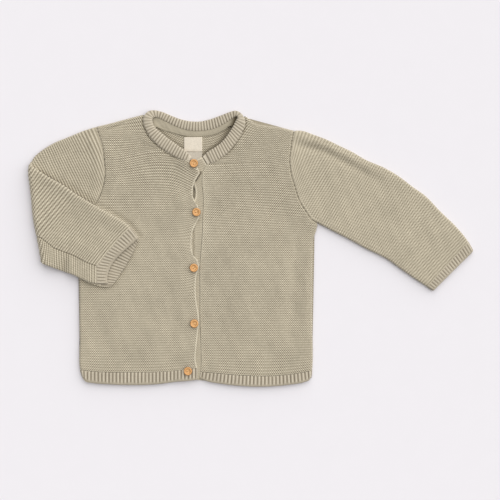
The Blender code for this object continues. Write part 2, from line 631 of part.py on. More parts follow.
def sleeve_flat(upper_line, lower_line, upper_at, lower_at, front, back, first_row=None):
    """Flat points, layer sides and shares of a sleeve: front layer, upper edge, back layer.

    front and back hold a fraction for each column, from the lower edge to the upper one.
    """
    upper = read(upper_line, upper_at)
    lower = read(lower_line, lower_at)
    share = np.concatenate([front, back[-2::-1]])
    side = np.concatenate([np.ones(len(front) - 1), [0], -np.ones(len(back) - 1)])
    flat = lower[:, None] * (1 - share)[:, None] + upper[:, None] * share[:, None]
    if first_row is not None:
        bow = read(first_row, share) - first_row[0]
        bow -= share[:, None] * (first_row[-1] - first_row[0])
        fade = (1 - np.linspace(0, 1, len(upper)))[:, None, None]**3
        flat = flat + fade * bow
    return flat, side, share


def table_rows(upper_line, lower_line, table):
    """Fractions along both edges for the rows of a table."""
    return [(fraction_of(upper_line, row[:2]), fraction_of(lower_line, row[2:]))
            for row in table]


def with_rows_between(rows, upper_line, lower_line, armpit):
    """Add rows where two that follow each other are far apart."""
    upper = lengths(upper_line)[-1]
    lower = lengths(lower_line)[-1]
    cap = fraction_of(lower_line, armpit)
    filled = [rows[0]]
    for here, there in zip(rows, rows[1:]):
        step = CAP_STEP if (here[1] + there[1]) / 2 < cap else ARM_STEP
        gap = max((there[0] - here[0]) * upper / ARM_STEP, (there[1] - here[1]) * lower / step)
        parts = max(1, math.ceil(gap))
        for i in range(1, parts + 1):
            filled.append(np.add(here, np.subtract(there, here) * i / parts))
    return np.array(filled)


def make_sleeve_right(material):
    """The sleeve that lies straight out, a pressed tube open along its underarm seam."""
    armhole = shifted(smooth_line(ARMHOLE_RIGHT), SEAM / 2)
    upper_line = part(shifted(EDGES_RIGHT[0], TUCK), armhole[0], TOP_RIGHT[-1])
    armhole[0] = upper_line[0]
    cap = part(armhole, RIGHT_ROWS[0][2:], ARMHOLE_RIGHT[-1])
    lower_line = np.vstack([cap, shifted(SLEEVE_EDGES_RIGHT[1], TUCK)[1:]])
    first = part(armhole, RIGHT_ROWS[0][2:], RIGHT_ROWS[0][:2])
    rows = table_rows(upper_line, lower_line, RIGHT_ROWS)
    rows = with_rows_between(rows, upper_line, lower_line, UNDER_RIGHT[0])
    rows[-1, 0] -= SEAM / 2 / lengths(upper_line)[-1]
    rows[-1, 1] -= SEAM / 2 / lengths(lower_line)[-1]
    across = spaced(94, PANEL_STEP, True, True)
    flat, side, _ = sleeve_flat(upper_line, lower_line, *rows.T, across, across, first)
    pressed("sleeve_right", flat, side, SLEEVE_EDGES_RIGHT, material)
    return upper_line, lower_line


def make_cuff(name, lines, start, end, ribbed_side, edges, material, slips=False, shape=None):
    """A ribbed cuff past a sleeve's last row."""
    upper_line, lower_line = lines
    upper_at = np.linspace(fraction_of(upper_line, start[:2]), fraction_of(upper_line, end[:2]), 3)
    lower_at = np.linspace(fraction_of(lower_line, start[2:]), fraction_of(lower_line, end[2:]), 3)
    upper_at[0] += SEAM / 2 / lengths(upper_line)[-1]
    lower_at[0] += SEAM / 2 / lengths(lower_line)[-1]
    width = np.linalg.norm(np.subtract(start[:2], start[2:]))
    ribbed = spaced(width, width / (2 * CUFF_RIBS), True, True)
    crests = RIB_RELIEF * (np.arange(len(ribbed)) % 2) * (abs(ribbed - 0.5) < 0.5 - MIDDLE / width)
    plain = spaced(width, PANEL_STEP, True, True)
    if ribbed_side > 0:
        front, back = ribbed, plain
        relief = np.concatenate([crests, np.zeros(len(plain) - 1)])
    else:
        front, back = plain, ribbed
        relief = np.concatenate([np.zeros(len(plain)), crests[-2::-1]])
    flat, side, share = sleeve_flat(upper_line, lower_line, upper_at, lower_at, front, back)
    relief = np.broadcast_to(relief, flat.shape[:2])
    slide = slide_apart(side, share, np.ones(len(flat))) if slips else None
    pressed(name, flat, side, edges, material, relief=relief, slide=slide, shape=shape)


def slide_apart(side, share, amount):
    """How far the folded cuff's layers slide along the arm, in opposite directions."""
    start, end = np.array(left_cuff_rows())
    direction = end[:2] + end[2:] - start[:2] - start[2:]
    direction /= np.linalg.norm(direction)
    bulge = CUFF_SLIP * (0.7 + 0.9 * share - 1.6 * share**3) * side
    return (amount[:, None] * bulge)[..., None] * direction


def left_sleeve_edges():
    """Upper and lower edges of the folded sleeve as they run before it is folded."""
    upper = smooth_line(TOP_LEFT[4:] + [tuple(p) for p in unfold(FOREARM_TOP[1:])])
    lower = smooth_line(UNDER_LEFT[:-1] + [tuple(p) for p in unfold(FOREARM_UNDER[1:])])
    return [upper, lower[::-1]]


def make_sleeve_left(material):
    """The sleeve that is folded back: upper arm, fold and forearm in one piece."""
    armhole = shifted(smooth_line(ARMHOLE_LEFT), -SEAM / 2)
    upper_line = shifted(SLEEVE_EDGES_LEFT[0], TUCK)
    upper_line = part(upper_line, armhole[0], upper_line[-1])
    armhole[0] = upper_line[0]
    cap = part(armhole, LEFT_ARM_ROWS[0][2:], ARMHOLE_LEFT[-1])
    lower_line = np.vstack([cap, shifted(SLEEVE_EDGES_LEFT[1], TUCK)[-2::-1]])
    start, _, out = fold_frame()
    rows = table_rows(upper_line, lower_line, LEFT_ARM_ROWS)
    for past in np.linspace(0, math.pi * FOLD_REACH, FOLD_ROWS):
        rows.append((crossing(upper_line, start, out, past), crossing(lower_line, start, out, past)))
    for row in LEFT_FOREARM_ROWS:
        ends = unfold([row[:2], row[2:]])
        rows.append((fraction_of(upper_line, ends[0]), fraction_of(lower_line, ends[1])))
    rows = with_rows_between(rows, upper_line, lower_line, UNDER_LEFT[0])
    rows[-1, 0] -= SEAM / lengths(upper_line)[-1]
    rows[-1, 1] -= SEAM / lengths(lower_line)[-1]
    first = part(armhole, LEFT_ARM_ROWS[0][2:], LEFT_ARM_ROWS[0][:2])
    across = spaced(104, PANEL_STEP, True, True)
    flat, side, share = sleeve_flat(upper_line, lower_line, *rows.T, across, across, first)
    amount = np.interp(np.arange(len(rows)), (len(rows) - 3, len(rows) - 1), (0, 1))
    slide = slide_apart(side, share, amount)
    pressed("sleeve_left", flat, side, SLEEVE_EDGES_LEFT, material, slide=slide, shape=fold)
    return upper_line, lower_line


def left_cuff_rows():
    """Both ends of the folded cuff as they run before the sleeve is folded."""
    rows = []
    for row in (LEFT_FOREARM_ROWS[-1], CUFF_END_LEFT):
        upper, lower = unfold([row[:2], row[2:]])
        rows.append((*upper, *lower))
    return rows


def crossing(line, start, out, past):
    """Fraction of a line where it lies a given distance past the fold's axis."""
    fractions = np.linspace(0, 1, 800)
    distance = (read(line, fractions) - start) @ out
    return np.interp(past, distance, fractions)


# ---------------------------------------------------------------- buttons

def make_button(number, x, y, material):
    """A turned wooden button with a raised rim."""
    mesh = bpy.data.meshes.new(f"button_{number}")
    verts = [(radius * MM, 0, height * MM) for radius, height in BUTTON_PROFILE]
    mesh.from_pydata(verts, [(i, i + 1) for i in range(len(verts) - 1)], [])
    mesh.materials.append(material)
    button = bpy.data.objects.new(f"button_{number}", mesh)
    button.location = (x * MM, y * MM, BUTTON_LEVEL * MM)
    screw = button.modifiers.new("turned", "SCREW")
    screw.steps = BUTTON_FACETS
    screw.render_steps = BUTTON_FACETS
    screw.use_merge_vertices = True
    screw.merge_threshold = 0.00002
    GARMENT.objects.link(button)


# ---------------------------------------------------------------- the garment

def clear_scene():
    """Remove what the file starts with."""
    for obj in list(bpy.data.objects):
        bpy.data.objects.remove(obj, do_unlink=True)


def centre_on_origin():
    """Move every piece so that the cloth's box is centred over the origin."""
    points = np.array([vertex.co for obj in GARMENT.objects if not obj.modifiers
                       for vertex in obj.data.vertices])
    centre = (points.min(axis=0) + points.max(axis=0)) / 2
    for obj in GARMENT.objects:
        obj.location.x -= centre[0]
        obj.location.y -= centre[1]


clear_scene()
GARMENT = bpy.data.collections.new("baby_cardigan")
bpy.context.scene.collection.children.link(GARMENT)

OVERLAP = smooth_line(OVERLAP_EDGE)
SEAM_LINE = smooth_line(BAND_SEAM)
BAND_OUTER = neckband_line(0)
BAND_INNER = neckband_line(2)
EDGES_RIGHT = [smooth_line(TOP_RIGHT)[::-1], smooth_line(SIDE_RIGHT)]
EDGES_LEFT = [smooth_line(TOP_LEFT), smooth_line(SIDE_LEFT)[::-1]]
SLEEVE_EDGES_RIGHT = [EDGES_RIGHT[0], smooth_line(UNDER_RIGHT)]
SLEEVE_EDGES_LEFT = left_sleeve_edges()

KNIT = knit_material("knit")
RIB = knit_material("rib")
make_back(KNIT)
make_front_right(KNIT)
make_front_left(KNIT)
make_button_band(KNIT)
make_hems(RIB)
make_neckband(RIB)
make_tape(knit_material("tape"))
make_labels(knit_material("label"), knit_material("size_tab"))
make_cuff("cuff_right", make_sleeve_right(KNIT), RIGHT_ROWS[-1], CUFF_END_RIGHT, 1,
          SLEEVE_EDGES_RIGHT, RIB)
make_cuff("cuff_left", make_sleeve_left(KNIT), *left_cuff_rows(), -1,
          SLEEVE_EDGES_LEFT, RIB, slips=True, shape=fold)
WOOD = knit_material("wood")
for index, (button_x, button_y) in enumerate(BUTTON_X_Y):
    make_button(index + 1, button_x, button_y, WOOD)
centre_on_origin()
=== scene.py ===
"""Baby cardigan laid flat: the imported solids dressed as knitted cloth.

Tables are in millimetres, with the middle of the picture at the origin, +Y towards the neck and
+Z up from the floor. Every piece is a thin shell on its solid's form, with its stitches as relief.
"""
import math

import bpy
import numpy as np
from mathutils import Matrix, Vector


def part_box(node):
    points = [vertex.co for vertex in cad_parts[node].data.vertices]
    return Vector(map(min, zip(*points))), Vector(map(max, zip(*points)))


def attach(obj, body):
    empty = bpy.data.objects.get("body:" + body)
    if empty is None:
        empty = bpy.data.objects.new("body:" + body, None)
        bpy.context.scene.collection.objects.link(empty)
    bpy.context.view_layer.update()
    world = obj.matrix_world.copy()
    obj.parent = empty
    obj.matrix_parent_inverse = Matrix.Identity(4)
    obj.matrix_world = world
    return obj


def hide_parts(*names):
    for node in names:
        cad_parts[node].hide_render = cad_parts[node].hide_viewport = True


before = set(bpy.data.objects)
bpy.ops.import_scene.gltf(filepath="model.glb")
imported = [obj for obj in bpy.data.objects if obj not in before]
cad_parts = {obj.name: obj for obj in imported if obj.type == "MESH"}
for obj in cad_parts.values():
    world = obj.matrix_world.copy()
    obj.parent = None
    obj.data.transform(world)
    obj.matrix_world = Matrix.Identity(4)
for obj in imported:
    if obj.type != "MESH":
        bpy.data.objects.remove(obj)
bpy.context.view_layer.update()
MM = 0.001

# ---------------------------------------------------------------- the solids' form, in mm
WALL = 2.2
HEIGHT = 5.8
MIDDLE = HEIGHT / 2
SEAM = 0.3
TUCK = MIDDLE - math.sqrt(MIDDLE**2 - (SEAM / 2)**2)
TURN = MIDDLE * math.pi / 2            # cloth's length round a quarter of a rolled edge

TOP_RIGHT = [(-5.6, 158.0), (-3.0, 156.2), (6.5, 149.5), (20, 146.5), (35, 145), (52, 141),
             (60.5, 141), (74.5, 136.5), (90.5, 130.5), (105, 123.5), (120.5, 116),
             (138, 106), (157, 98), (176, 87), (191, 75.5), (206.5, 64.5), (224, 46.5),
             (242, 28.5), (253.5, 14), (261.8, 0)]
SIDE_RIGHT = [(72.6, -153), (73.5, -144), (74.5, -94.5), (74.5, -47), (74.5, -7),
              (75, 14), (80, 32)]
UNDER_RIGHT = [(80, 32), (94.5, 24), (118, 12), (138, 1), (159.5, -9.5), (181.5, -25),
               (200.5, -38), (215, -47.3)]
TOP_LEFT = [(-125.6, 159.9), (-140.5, 156), (-155.5, 152), (-168.5, 148.5), (-181.5, 145.5),
            (-196, 141), (-208, 136), (-224, 128), (-239.5, 118), (-252.5, 110.5)]
SIDE_LEFT = [(-197.5, -152.5), (-200, -144), (-201, -106), (-201.5, -59), (-201.5, -14),
             (-202.5, 12), (-205.5, 32)]
UNDER_LEFT = [(-205.5, 32), (-217, 16.5), (-229, 0), (-240.5, -15.5)]
ARMHOLE_RIGHT = [(52, 141), (50, 132), (48.5, 120.5), (47, 108.5), (48.5, 90.5), (53, 75),
                 (59, 57), (66.5, 45), (72.5, 36.5), (80, 32)]
ARMHOLE_LEFT = [(-181.5, 145.5), (-177.5, 134.5), (-173.5, 121.5), (-171.5, 104.5),
                (-170.5, 94), (-172, 79), (-176, 66), (-181.5, 54.5), (-191, 42.5),
                (-205.5, 32)]

CREASE = [(-255.5, 86.0), (-240.5, -15.5)]
FOREARM_TOP = [(-248, 92.5), (-233.5, 84), (-218.5, 75.5), (-202.5, 64.5), (-186.5, 55),
               (-170, 45.5), (-152, 35.5), (-140, 26), (-131, 14)]
FOREARM_UNDER = [(-240, -20.5), (-229.5, -22), (-219, -26), (-207.5, -29.5), (-198, -34.5),
                 (-188, -39), (-176, -41.5), (-165, -41.5)]
FOLD_AXIS = HEIGHT + SEAM / 2 + 0.1
FOLD_REACH = FOLD_AXIS - MIDDLE
SAG = 6.1
SAG_START = 8.0
SAG_SPAN = 16.0
CUFF_SLIP = 4.0

OVERLAP_EDGE = [(-62, -138.8), (-64, -130), (-63, -114.5), (-61, -96.5), (-60, -80),
                (-63, -60), (-64, -45), (-62.5, -28.5), (-60, -19), (-61.5, -12.5),
                (-67, -5), (-69, 6.5), (-66, 26), (-61, 35), (-59, 45), (-62, 53.5),
                (-67, 63.5), (-67, 73), (-63, 84.5), (-58.5, 91)]
OVERLAP_TIP = [(-58.5, 91), (-61, 96), (-64.6, 101.2), (-70.8, 103.2)]
BAND_SEAM = [(-59.4, -152.5), (-58, -143), (-57.5, -130), (-58, -106), (-59, -75.5),
             (-59, -47), (-59, -21), (-58, -4.5), (-56.5, 14), (-55.5, 39), (-55, 63.5),
             (-56.5, 82.5), (-55, 94), (-50.5, 100.5)]
BAND_EDGE = [(-74, -152), (-75, -100), (-75, -20), (-74, 40), (-71, 53), (-66, 59),
             (-64.6, 68), (-66, 76), (-71, 84), (-73, 95), (-69, 103.5)]
BAND_TOP = [(-69, 103.5), (-62.5, 107.2), (-56.6, 110.3), (-53.6, 105.6), (-50.6, 101.0)]
BAND_WALL = 2.0
BAND_LEVEL = 2.5
BAND_RIDGES = 127.5
BAND_STITCHES = 8
BAND_FOLD = -63.4              # place of the fold that shows along the band between buttons
OVERLAP_LIFT = 1.3
OVERLAP_WIDTH = 17.0
UNDERLAP_DIP = 0.9
LAP_SLOPE = 16.0

HEM_TOP_LEFT = [(-200, -141), (-177, -143.5), (-141.5, -144), (-106, -143.5),
                (-82.5, -141.5), (-62, -139)]
HEM_BOTTOM_LEFT = [(-197.5, -150), (-193.5, -154.5), (-182.5, -157), (-165, -158.4),
                   (-130, -159.2), (-106, -158), (-87.5, -155.5), (-68, -153.8), (-62, -153)]
HEM_TOP_RIGHT = [(-58, -143.5), (-41.5, -145), (-12, -147.5), (19, -148.5), (47, -146.5),
                 (63.5, -144), (73.5, -142)]
HEM_BOTTOM_RIGHT = [(-59.5, -151.5), (-50.5, -155), (-35.5, -157.8), (-17.5, -160),
                    (2.5, -161.2), (19, -161.2), (46, -159), (63.5, -156), (70, -153.5),
                    (72.8, -150)]
HEM_BOTTOM_BACK = [(-197.6, -151), (-165, -157.5), (-100, -157), (-62, -153.5), (-35, -157),
                   (10, -159.5), (46, -158), (72.7, -151)]

NECKBAND = [  # seam x, seam y, free x, free y, underside
    (-50.5, 101.0, -56.0, 110.0, 2.9), (-43.5, 102.5, -50.0, 116.0, 3.4),
    (-34.0, 108.0, -40.5, 122.0, 3.8), (-25.0, 115.5, -32.5, 128.5, 3.8),
    (-16.5, 126.5, -25.5, 137.5, 3.8), (-10.0, 136.5, -20.5, 145.5, 3.8),
    (-5.8, 146.5, -17.0, 152.6, 3.6), (-6.0, 154.0, -15.9, 155.2, 2.9),
    (-9.5, 160.5, -15.9, 156.6, 2.0), (-15.5, 164.5, -17.2, 156.8, 1.1),
    (-22.5, 163.8, -20.5, 155.0, 0.3), (-33.5, 159.5, -29.5, 148.8, 0.0),
    (-45.5, 154.5, -43.0, 142.7, 0.0), (-57.5, 151.5, -56.5, 140.2, 0.0),
    (-69.5, 151.5, -71.0, 140.5, 0.0), (-81.5, 154.0, -85.0, 144.2, 0.0),
    (-93.5, 159.0, -98.0, 150.3, 0.0), (-102.5, 163.0, -106.0, 154.5, 0.3),
    (-111.0, 165.0, -110.6, 156.2, 1.1), (-118.5, 164.5, -112.8, 156.2, 2.0),
    (-124.0, 160.5, -114.2, 155.2, 2.9), (-126.0, 154.5, -114.7, 153.2, 3.4),
    (-125.5, 147.5, -114.2, 149.8, 3.8), (-122.5, 140.5, -112.0, 145.2, 3.8),
    (-117.5, 132.0, -107.8, 141.2, 3.8), (-108.0, 122.5, -99.5, 134.3, 3.8),
    (-98.5, 115.5, -91.0, 128.0, 3.8), (-88.5, 109.5, -82.0, 121.6, 3.9),
    (-79.0, 105.5, -74.5, 116.0, 4.4), (-71.5, 104.0, -68.8, 109.5, 5.1)]
BACK_STATIONS = (10, 17)       # rows of that table between which the back's edge shows
BACK_WIDTH = 274.0
BACK_HEIGHT = 300.0
NECKBAND_HEIGHT = 4.3
NECKBAND_RIB = 3.4             # from rib to rib

TAPE_LOWER = [(-110.5, 145.5), (-102.5, 141.5), (-93.5, 139), (-78, 134.8), (-67.5, 133.8),
              (-57.5, 134.2), (-46, 135.4), (-36.5, 138.6), (-28.5, 143), (-23.5, 147)]
LABEL_CORNERS = [(-78.0, 116.0), (-56.5, 116.0), (-56.5, 133.4), (-78.0, 133.4)]
TAB_CORNERS = [(-78.0, 102.5), (-56.5, 107.5), (-56.5, 115.7), (-78.0, 115.7)]

CUFF_END_RIGHT = (261.8, 0.0, 215.0, -47.3)
CUFF_END_LEFT = (-131.0, 14.0, -165.0, -41.5)
LEFT_LAST_ROW = (-140.4, 26.3, -178.0, -41.3)

BUTTON_X_Y = [(-66, 102), (-63, 44.5), (-66, -21), (-65.5, -86.5), (-73, -142.5)]
BUTTON_LEVEL = 7.9
# low tones are painted shade: in the turned ring's hollow, down the rim's side and underneath
BUTTON_PROFILE = [  # radius, height, tone, from the middle of the top to the underside
    (0.0, 1.75, 0.95), (1.2, 1.72, 0.92), (2.2, 1.68, 0.85), (2.7, 1.75, 0.45),
    (3.05, 2.3, 0.50), (3.5, 2.62, 0.90), (4.0, 2.66, 0.75), (4.5, 2.45, 0.48),
    (4.9, 1.95, 0.28), (5.0, 1.4, 0.22), (4.85, 0.7, 0.2), (4.4, 0.15, 0.2),
    (2.5, 0.0, 0.35), (0.0, 0.0, 0.35)]
BUTTON_HOLE = 1.05             # from the middle of a button to the middle of each hole
HOLE_RADIUS = 0.78
HOLE_EDGE = 0.35               # width of a hole's rounded edge
HOLE_DEPTH = 1.1
BUTTON_TURNS = (80, 15, 40, 120, 10)    # degrees each button is turned on its thread
THREAD_RADIUS = 0.17
STRANDS = (-0.32, 0.0, 0.32)   # places of a button's strands, side by side
LABEL_HEIGHT = 17

# ---------------------------------------------------------------- the knitting
LINE_STEP = 1.5                # between the points of a smooth line
BLOCK = 6000                   # points whose distances from lines are measured at a time
RIDGE = 2.88                   # height of one garter ridge, two rows of knitting
STITCH = 2.48                  # width of one stitch
FLAT_CREST = 0.42              # crest value of cloth whose relief doesn't show
RELIEF = 0.75                  # from the furrow between ridges to a ridge's crest
PER_RIDGE = 4                  # mesh rows to a ridge
PER_STITCH = 4                 # mesh columns to a stitch
NECK_LAP = 1.0                 # how far the fronts run in under the neckband
HEM_LAP = 0.6                  # and a panel over its ribbing
HEM_HEIGHT = 14.0
HEM_RIB_LEFT = 4.25            # from rib to rib of the hem under the upper front
HEM_RIB_RIGHT = 4.4            # and of the hem under the under front
HEM_BACK_WIDTH = 272
HEM_BACK_RIBS = 64
RIM = 0.44                     # crest value of plain edges
INSIDE_RELIEF = 0.5            # relief of the ribbing inside the cuffs
CUFF_LENGTH = 13.0
CUFF_RIB = 3.8                 # from rib to rib
SLEEVE_WIDTH_RIGHT = 94        # across each pressed sleeve at its widest
SLEEVE_WIDTH_LEFT = 104
CUFF_GAPE = 45.0               # how far the folded cuff's upper layer draws back at its rim

# Rows of knitting: their ends on a panel's left and right edges, ridge number and bow.
LEFT_FRONT_ROWS = [
    (-200, -140.7, -62, -138.8, 0, 0), (-201.5, -40, -64, -38, 35, 0),
    (-202.5, 12, -66.5, 14, 53, 0), (-205.5, 32, -61, 33.5, 60, 0),
    (-176, 66, -65.7, 61.5, 71.5, 2), (-172.5, 77, -67, 72, 76, 4.5),
    (-170.9, 87, -64, 81, 80, 8), (-170.6, 97.5, -59.5, 88.5, 84, 12.5),
    (-171, 105, -60, 94.5, 87, 14), (-172.3, 113, -76.5, 104.8, 90, 11.5),
    (-174, 121.5, -97, 114.8, 93, 8.5), (-176.5, 130.5, -111.5, 126, 96, 5),
    (-179, 138, -121, 139.5, 99.8, 2), (-181.5, 145.5, -125.6, 159.9, 104.4, 0)]
RIGHT_FRONT_ROWS = [
    (-58, -143.2, 73.5, -141.7, 0, 0), (-59, -42, 74.5, -42, 35, 0),
    (-56.5, 14, 75, 12, 54, 0), (-55.5, 39, 80, 32, 61.5, 0),
    (-55, 63.5, 59, 57, 70, 1), (-56, 91, 48.5, 90.5, 81, 2),
    (-50.5, 101, 47.2, 100, 84.5, 3), (-34, 108, 47, 109, 88, 3.5),
    (-20, 122, 48.8, 121.5, 93, 3), (-9.5, 138, 50.5, 131.5, 98, 1.5),
    (-5.6, 158, 52, 141, 103.8, 0)]
BUTTON_PULL = [(44.5, 7.4), (-21, 6.0), (-86.5, 2.5)]    # height of a button, pull on the rows
PULL_UP = 16.5                 # how far up and down a button's pull is strongest
PULL_ACROSS = 7.0              # and how far in from the opening edge it reaches

# The same along the sleeves: upper edge, armhole or lower edge, ridge number.
RIGHT_ROWS = [
    (52, 141, 47.2, 100, 0), (86, 131.6, 55.5, 68.5, 8.7), (122.7, 114.5, 72, 36.5, 20.4),
    (155.8, 98, 102.7, 20, 32.3), (188.8, 78, 132, 4, 44.2), (218.3, 53, 164, -12, 56.5),
    (239.5, 31, 185, -27, 65.8), (256.5, 9.5, 209, -43.2, 75)]
LEFT_ARM_ROWS = [
    (-181.5, 145.5, -171.5, 104.5, 0), (-200, 139, -171.7, 77, 4.6),
    (-224, 127, -186, 48, 13.7), (-245, 114, -205.5, 32, 22.3)]
LEFT_TURN_ROWS = [  # the same from the upper edge as it lies folded, and where each row bends
    (-239.8, 87.7, -222.7, 8.6, 35.7, -253.4, 71.5, 0.77),
    (-218.3, 75.5, -229.3, -0.3, 42.2, -248.6, 39.4, 0.48),
    (-202.5, 64.5, -239.5, -14.0, 47.3, -244.9, 14.0, 0.27)]
LEFT_FOREARM_ROWS = [  # both ends and the bend, which is on the underarm seam, as they lie
    (-186.4, 55.1, -230, -22, 54.3, -231, 2.4, 0.27),
    (-169.9, 45.3, -211.2, -28.3, 61.1, -211.2, -5.2, 0.27),
    (-152, 35.6, -193.5, -37, 68.1, -193.5, -14.2, 0.27),
    (-140.4, 26.3, -178, -41.3, 73.3, -177, -20.9, 0.27)]
SEAM_SHARE = 0.27              # place of the forearm's seam between its lower and upper edges
CUFF_REACH = 1.7               # how far the right cuff stretches past its solid

# Soft folds in the front layer: half width, then places along the fold with their heights.
FOLDS = [
    (5.5, [(57, 134, 1.0), (72, 129, 1.5), (102, 116.5, 1.4), (134, 99.5, 0.9), (170, 81, 0.2)]),
    (4.8, [(58, 122, -0.7), (67, 121, -1.6), (87, 117, -1.8), (108.6, 105.5, -1.6),
           (132.6, 92.5, -1.1), (150, 82, -0.4)]),
    (7.0, [(60, 32, -0.3), (54, 5, -1.2), (51, -50, -1.3), (49.5, -100, -0.7), (50, -125, -0.1)]),
    (4.5, [(70, 18, 0.2), (67, -30, 0.7), (66, -95, 0.5), (66, -125, 0.1)]),
    (17.0, [(38, 74, -0.5), (26, 41, -0.7), (20, 20, -0.1)]),
    (9.0, [(92, 60, 0.1), (120, 30, 0.5), (150, 8, 0.1)]),
    (7.0, [(105, 88, -0.1), (140, 60, -0.5), (175, 30, -0.2)]),
    (6.0, [(190, 55, 0.1), (215, 20, 0.5), (222, -8, 0.2)]),
    (15.0, [(-150, 60, -0.5), (-120, 20, -0.5)]),
    (6.5, [(-80, 16, 0.2), (-77, 2, 0.8), (-80, -10, 0.2)]),
    (5.0, [(-84, -30, -0.2), (-76, -24, -0.7), (-70, -20, -0.8)]),
    (5.0, [(-84, 47, -0.2), (-74, 45, -0.7), (-68, 44.5, -0.8)]),
    (6.0, [(-95, -122, -0.2), (-84, -135, -0.7), (-75, -142, -0.7)]),
    (4.0, [(-96, 112, 0.0), (-80, 102, 0.7), (-65, 93, 0.7)]),
    (9.0, [(-168, 118, 0.4), (-160, 80, 0.6), (-166, 50, 0.2)]),
    (12.0, [(-185, -20, -0.4), (-180, -80, -0.6), (-170, -120, -0.1)]),
    (14.0, [(-110, -60, 0.4), (-120, -110, 0.5)]),
    (14.0, [(-20, 20, 0.3), (-15, -60, 0.5), (10, -120, 0.2)]),
    (5.0, [(-187, 128, 0.7), (-181, 108, 0.8), (-180, 85, 0.8), (-186, 60, 0.6)]),
    (3.2, [(-231, 87, -0.3), (-217, 78.5, -0.9), (-201, 68, -1.0), (-186, 58, -0.9),
           (-172, 50, -0.6), (-154, 39, -1.1), (-141, 29.5, -1.2), (-130, 16, -1.0)]),
    (1.5, [(-169, 144.4, 0.4), (-161, 148.0, 1.2), (-152, 151.0, 0.8)]),
    (1.4, [(-167, 141.4, -0.5), (-159, 145.0, -1.6), (-150, 149.0, -0.9)])]
# The same on the forearm as it lies folded.
LAID_FOLDS = [
    (6.0, [(-240, 84, 0.5), (-205, 62, 0.7), (-165, 38, 0.5)]),
    (7.0, [(-240, 60, -0.1), (-215, 40, -0.5), (-190, 30, -0.2)]),
    (6.0, [(-182, 32, -0.1), (-163, 22, -0.6), (-158, 10, -0.2)]),
    (6.0, [(-235, 20, 0.2), (-205, 10, 0.6), (-180, -8, 0.2)]),
    (4.0, [(-245, 8, -0.2), (-215, -6, -0.5), (-180, -23, -0.3)])]
RIPPLE = 0.16                  # height of the cloth's faint unevenness
# Places where the cloth's outline lies a little off its solid: middle, reach and shift.
NUDGES = [(-241, 122, 20, 16, -0.8, 3.6), (-263, 103, 7, 8, 3.0, 0.0),
          (-254, 36, 18, 24, -1.8, 0.0), (74, -60, 12, 70, -1.2, 0.0),
          (78, 22, 6, 10, 0.8, -1.5), (255, 5, 25, 25, 1.3, 0.5),
          (-62, 154, 30, 6, 0.0, 1.1)]

# Yarns and cloths: colours in the furrows, half way and on the crests, twist, fuzz and loops. The
# darker furrow colours are painted shade in the hollows of the relief.
YARNS = [
    ("knit", (0.135, 0.11, 0.072), (0.478, 0.418, 0.308), (0.785, 0.715, 0.562), 0.25, 0.35, 0.18),
    ("rib", (0.15, 0.12, 0.08), (0.42, 0.365, 0.275), (0.67, 0.60, 0.475)),
    # the tape's very dark furrow colour serves the painted shadow of the neckband on it
    ("tape", (0.09, 0.07, 0.04), (0.367, 0.322, 0.235), (0.44, 0.388, 0.29), 0.1),
    ("label", (0.38, 0.33, 0.255), (0.575, 0.51, 0.41), (0.80, 0.72, 0.60), 0.1, 0.1),
    ("size_tab", (0.34, 0.30, 0.24), (0.47, 0.42, 0.34), (0.58, 0.52, 0.43), 0.1, 0.1),
    ("thread", (0.40, 0.22, 0.08), (0.72, 0.42, 0.16), (0.86, 0.56, 0.25), 0.1)]
FLOOR_REACH = 6.0              # metres
CAMERA_HEIGHT = 1.397          # metres

# Counts of points along, up or round the smaller pieces.
BAND_COLUMNS = 25
BAND_ROWS = 356
NECKBAND_STEP = 0.42           # millimetres from ring to ring
NECKBAND_AROUND = 32
CUFF_ROWS = 21
TAPE_COLUMNS = 150
TAPE_ROWS = 13
LABEL_COLUMNS = 37
LABEL_ROWS = 29
BUTTON_RINGS = 42
BUTTON_TOP_RINGS = 30          # those that the holes sink
BUTTON_AROUND = 64
THREAD_POINTS = 9
THREAD_AROUND = 6


# ---------------------------------------------------------------- lines in the plane

def ease(t):
    """Smooth step from 0 to 1."""
    t = np.clip(t, 0, 1)
    return t * t * (3 - 2 * t)


def bell(value, width, middle=0.0):
    """A soft hump, 1 at its middle."""
    return np.exp(-((value - middle) / width)**2)


def smooth_line(points):
    """A dense smooth line through the points of a table."""
    points = np.array(points, float)
    along = lengths(points)
    at = np.linspace(0, along[-1], max(2, round(along[-1] / LINE_STEP)) + 1)
    return smooth_values(at, along, points)


def smooth_values(at, knots, values):
    """Values of a table read smoothly between its knots."""
    values = np.array(values, float)
    columns = values.reshape(len(knots), -1)
    slope = np.gradient(columns, knots, axis=0)
    span = np.clip(np.searchsorted(knots, at, side="right") - 1, 0, len(knots) - 2)
    width = (knots[span + 1] - knots[span])[:, None]
    t = (at - knots[span])[:, None] / width
    found = (columns[span] * (2 * t**3 - 3 * t**2 + 1)
             + slope[span] * width * (t**3 - 2 * t**2 + t)
             + columns[span + 1] * (3 * t**2 - 2 * t**3)
             + slope[span + 1] * width * (t**3 - t**2))
    return found.reshape(len(at), *values.shape[1:])


def lengths(line):
    """Length along a line up to each of its points."""
    steps = np.linalg.norm(np.diff(line, axis=0), axis=1)
    return np.concatenate([[0.0], np.cumsum(steps)])


def read(line, fraction):
    """Points of a line at fractions of its length."""
    along = lengths(line)
    at = np.asarray(fraction) * along[-1]
    return np.stack([np.interp(at, along, line[:, axis]) for axis in (0, 1)], axis=-1)


def bow_of(line, fraction):
    """How far a line bows from the straight between its ends."""
    return read(line, fraction) - line[0] - fraction[..., None] * (line[-1] - line[0])


def fraction_of(line, point):
    """Fraction of the line's length at its nearest place to a point."""
    fine = np.linspace(0, 1, 2001)
    return fine[np.linalg.norm(read(line, fine) - point, axis=1).argmin()]


def part(line, start, end):
    """The stretch of a line between its nearest places to two points."""
    ends = fraction_of(line, start), fraction_of(line, end)
    return read(line, np.linspace(*ends, len(line)))


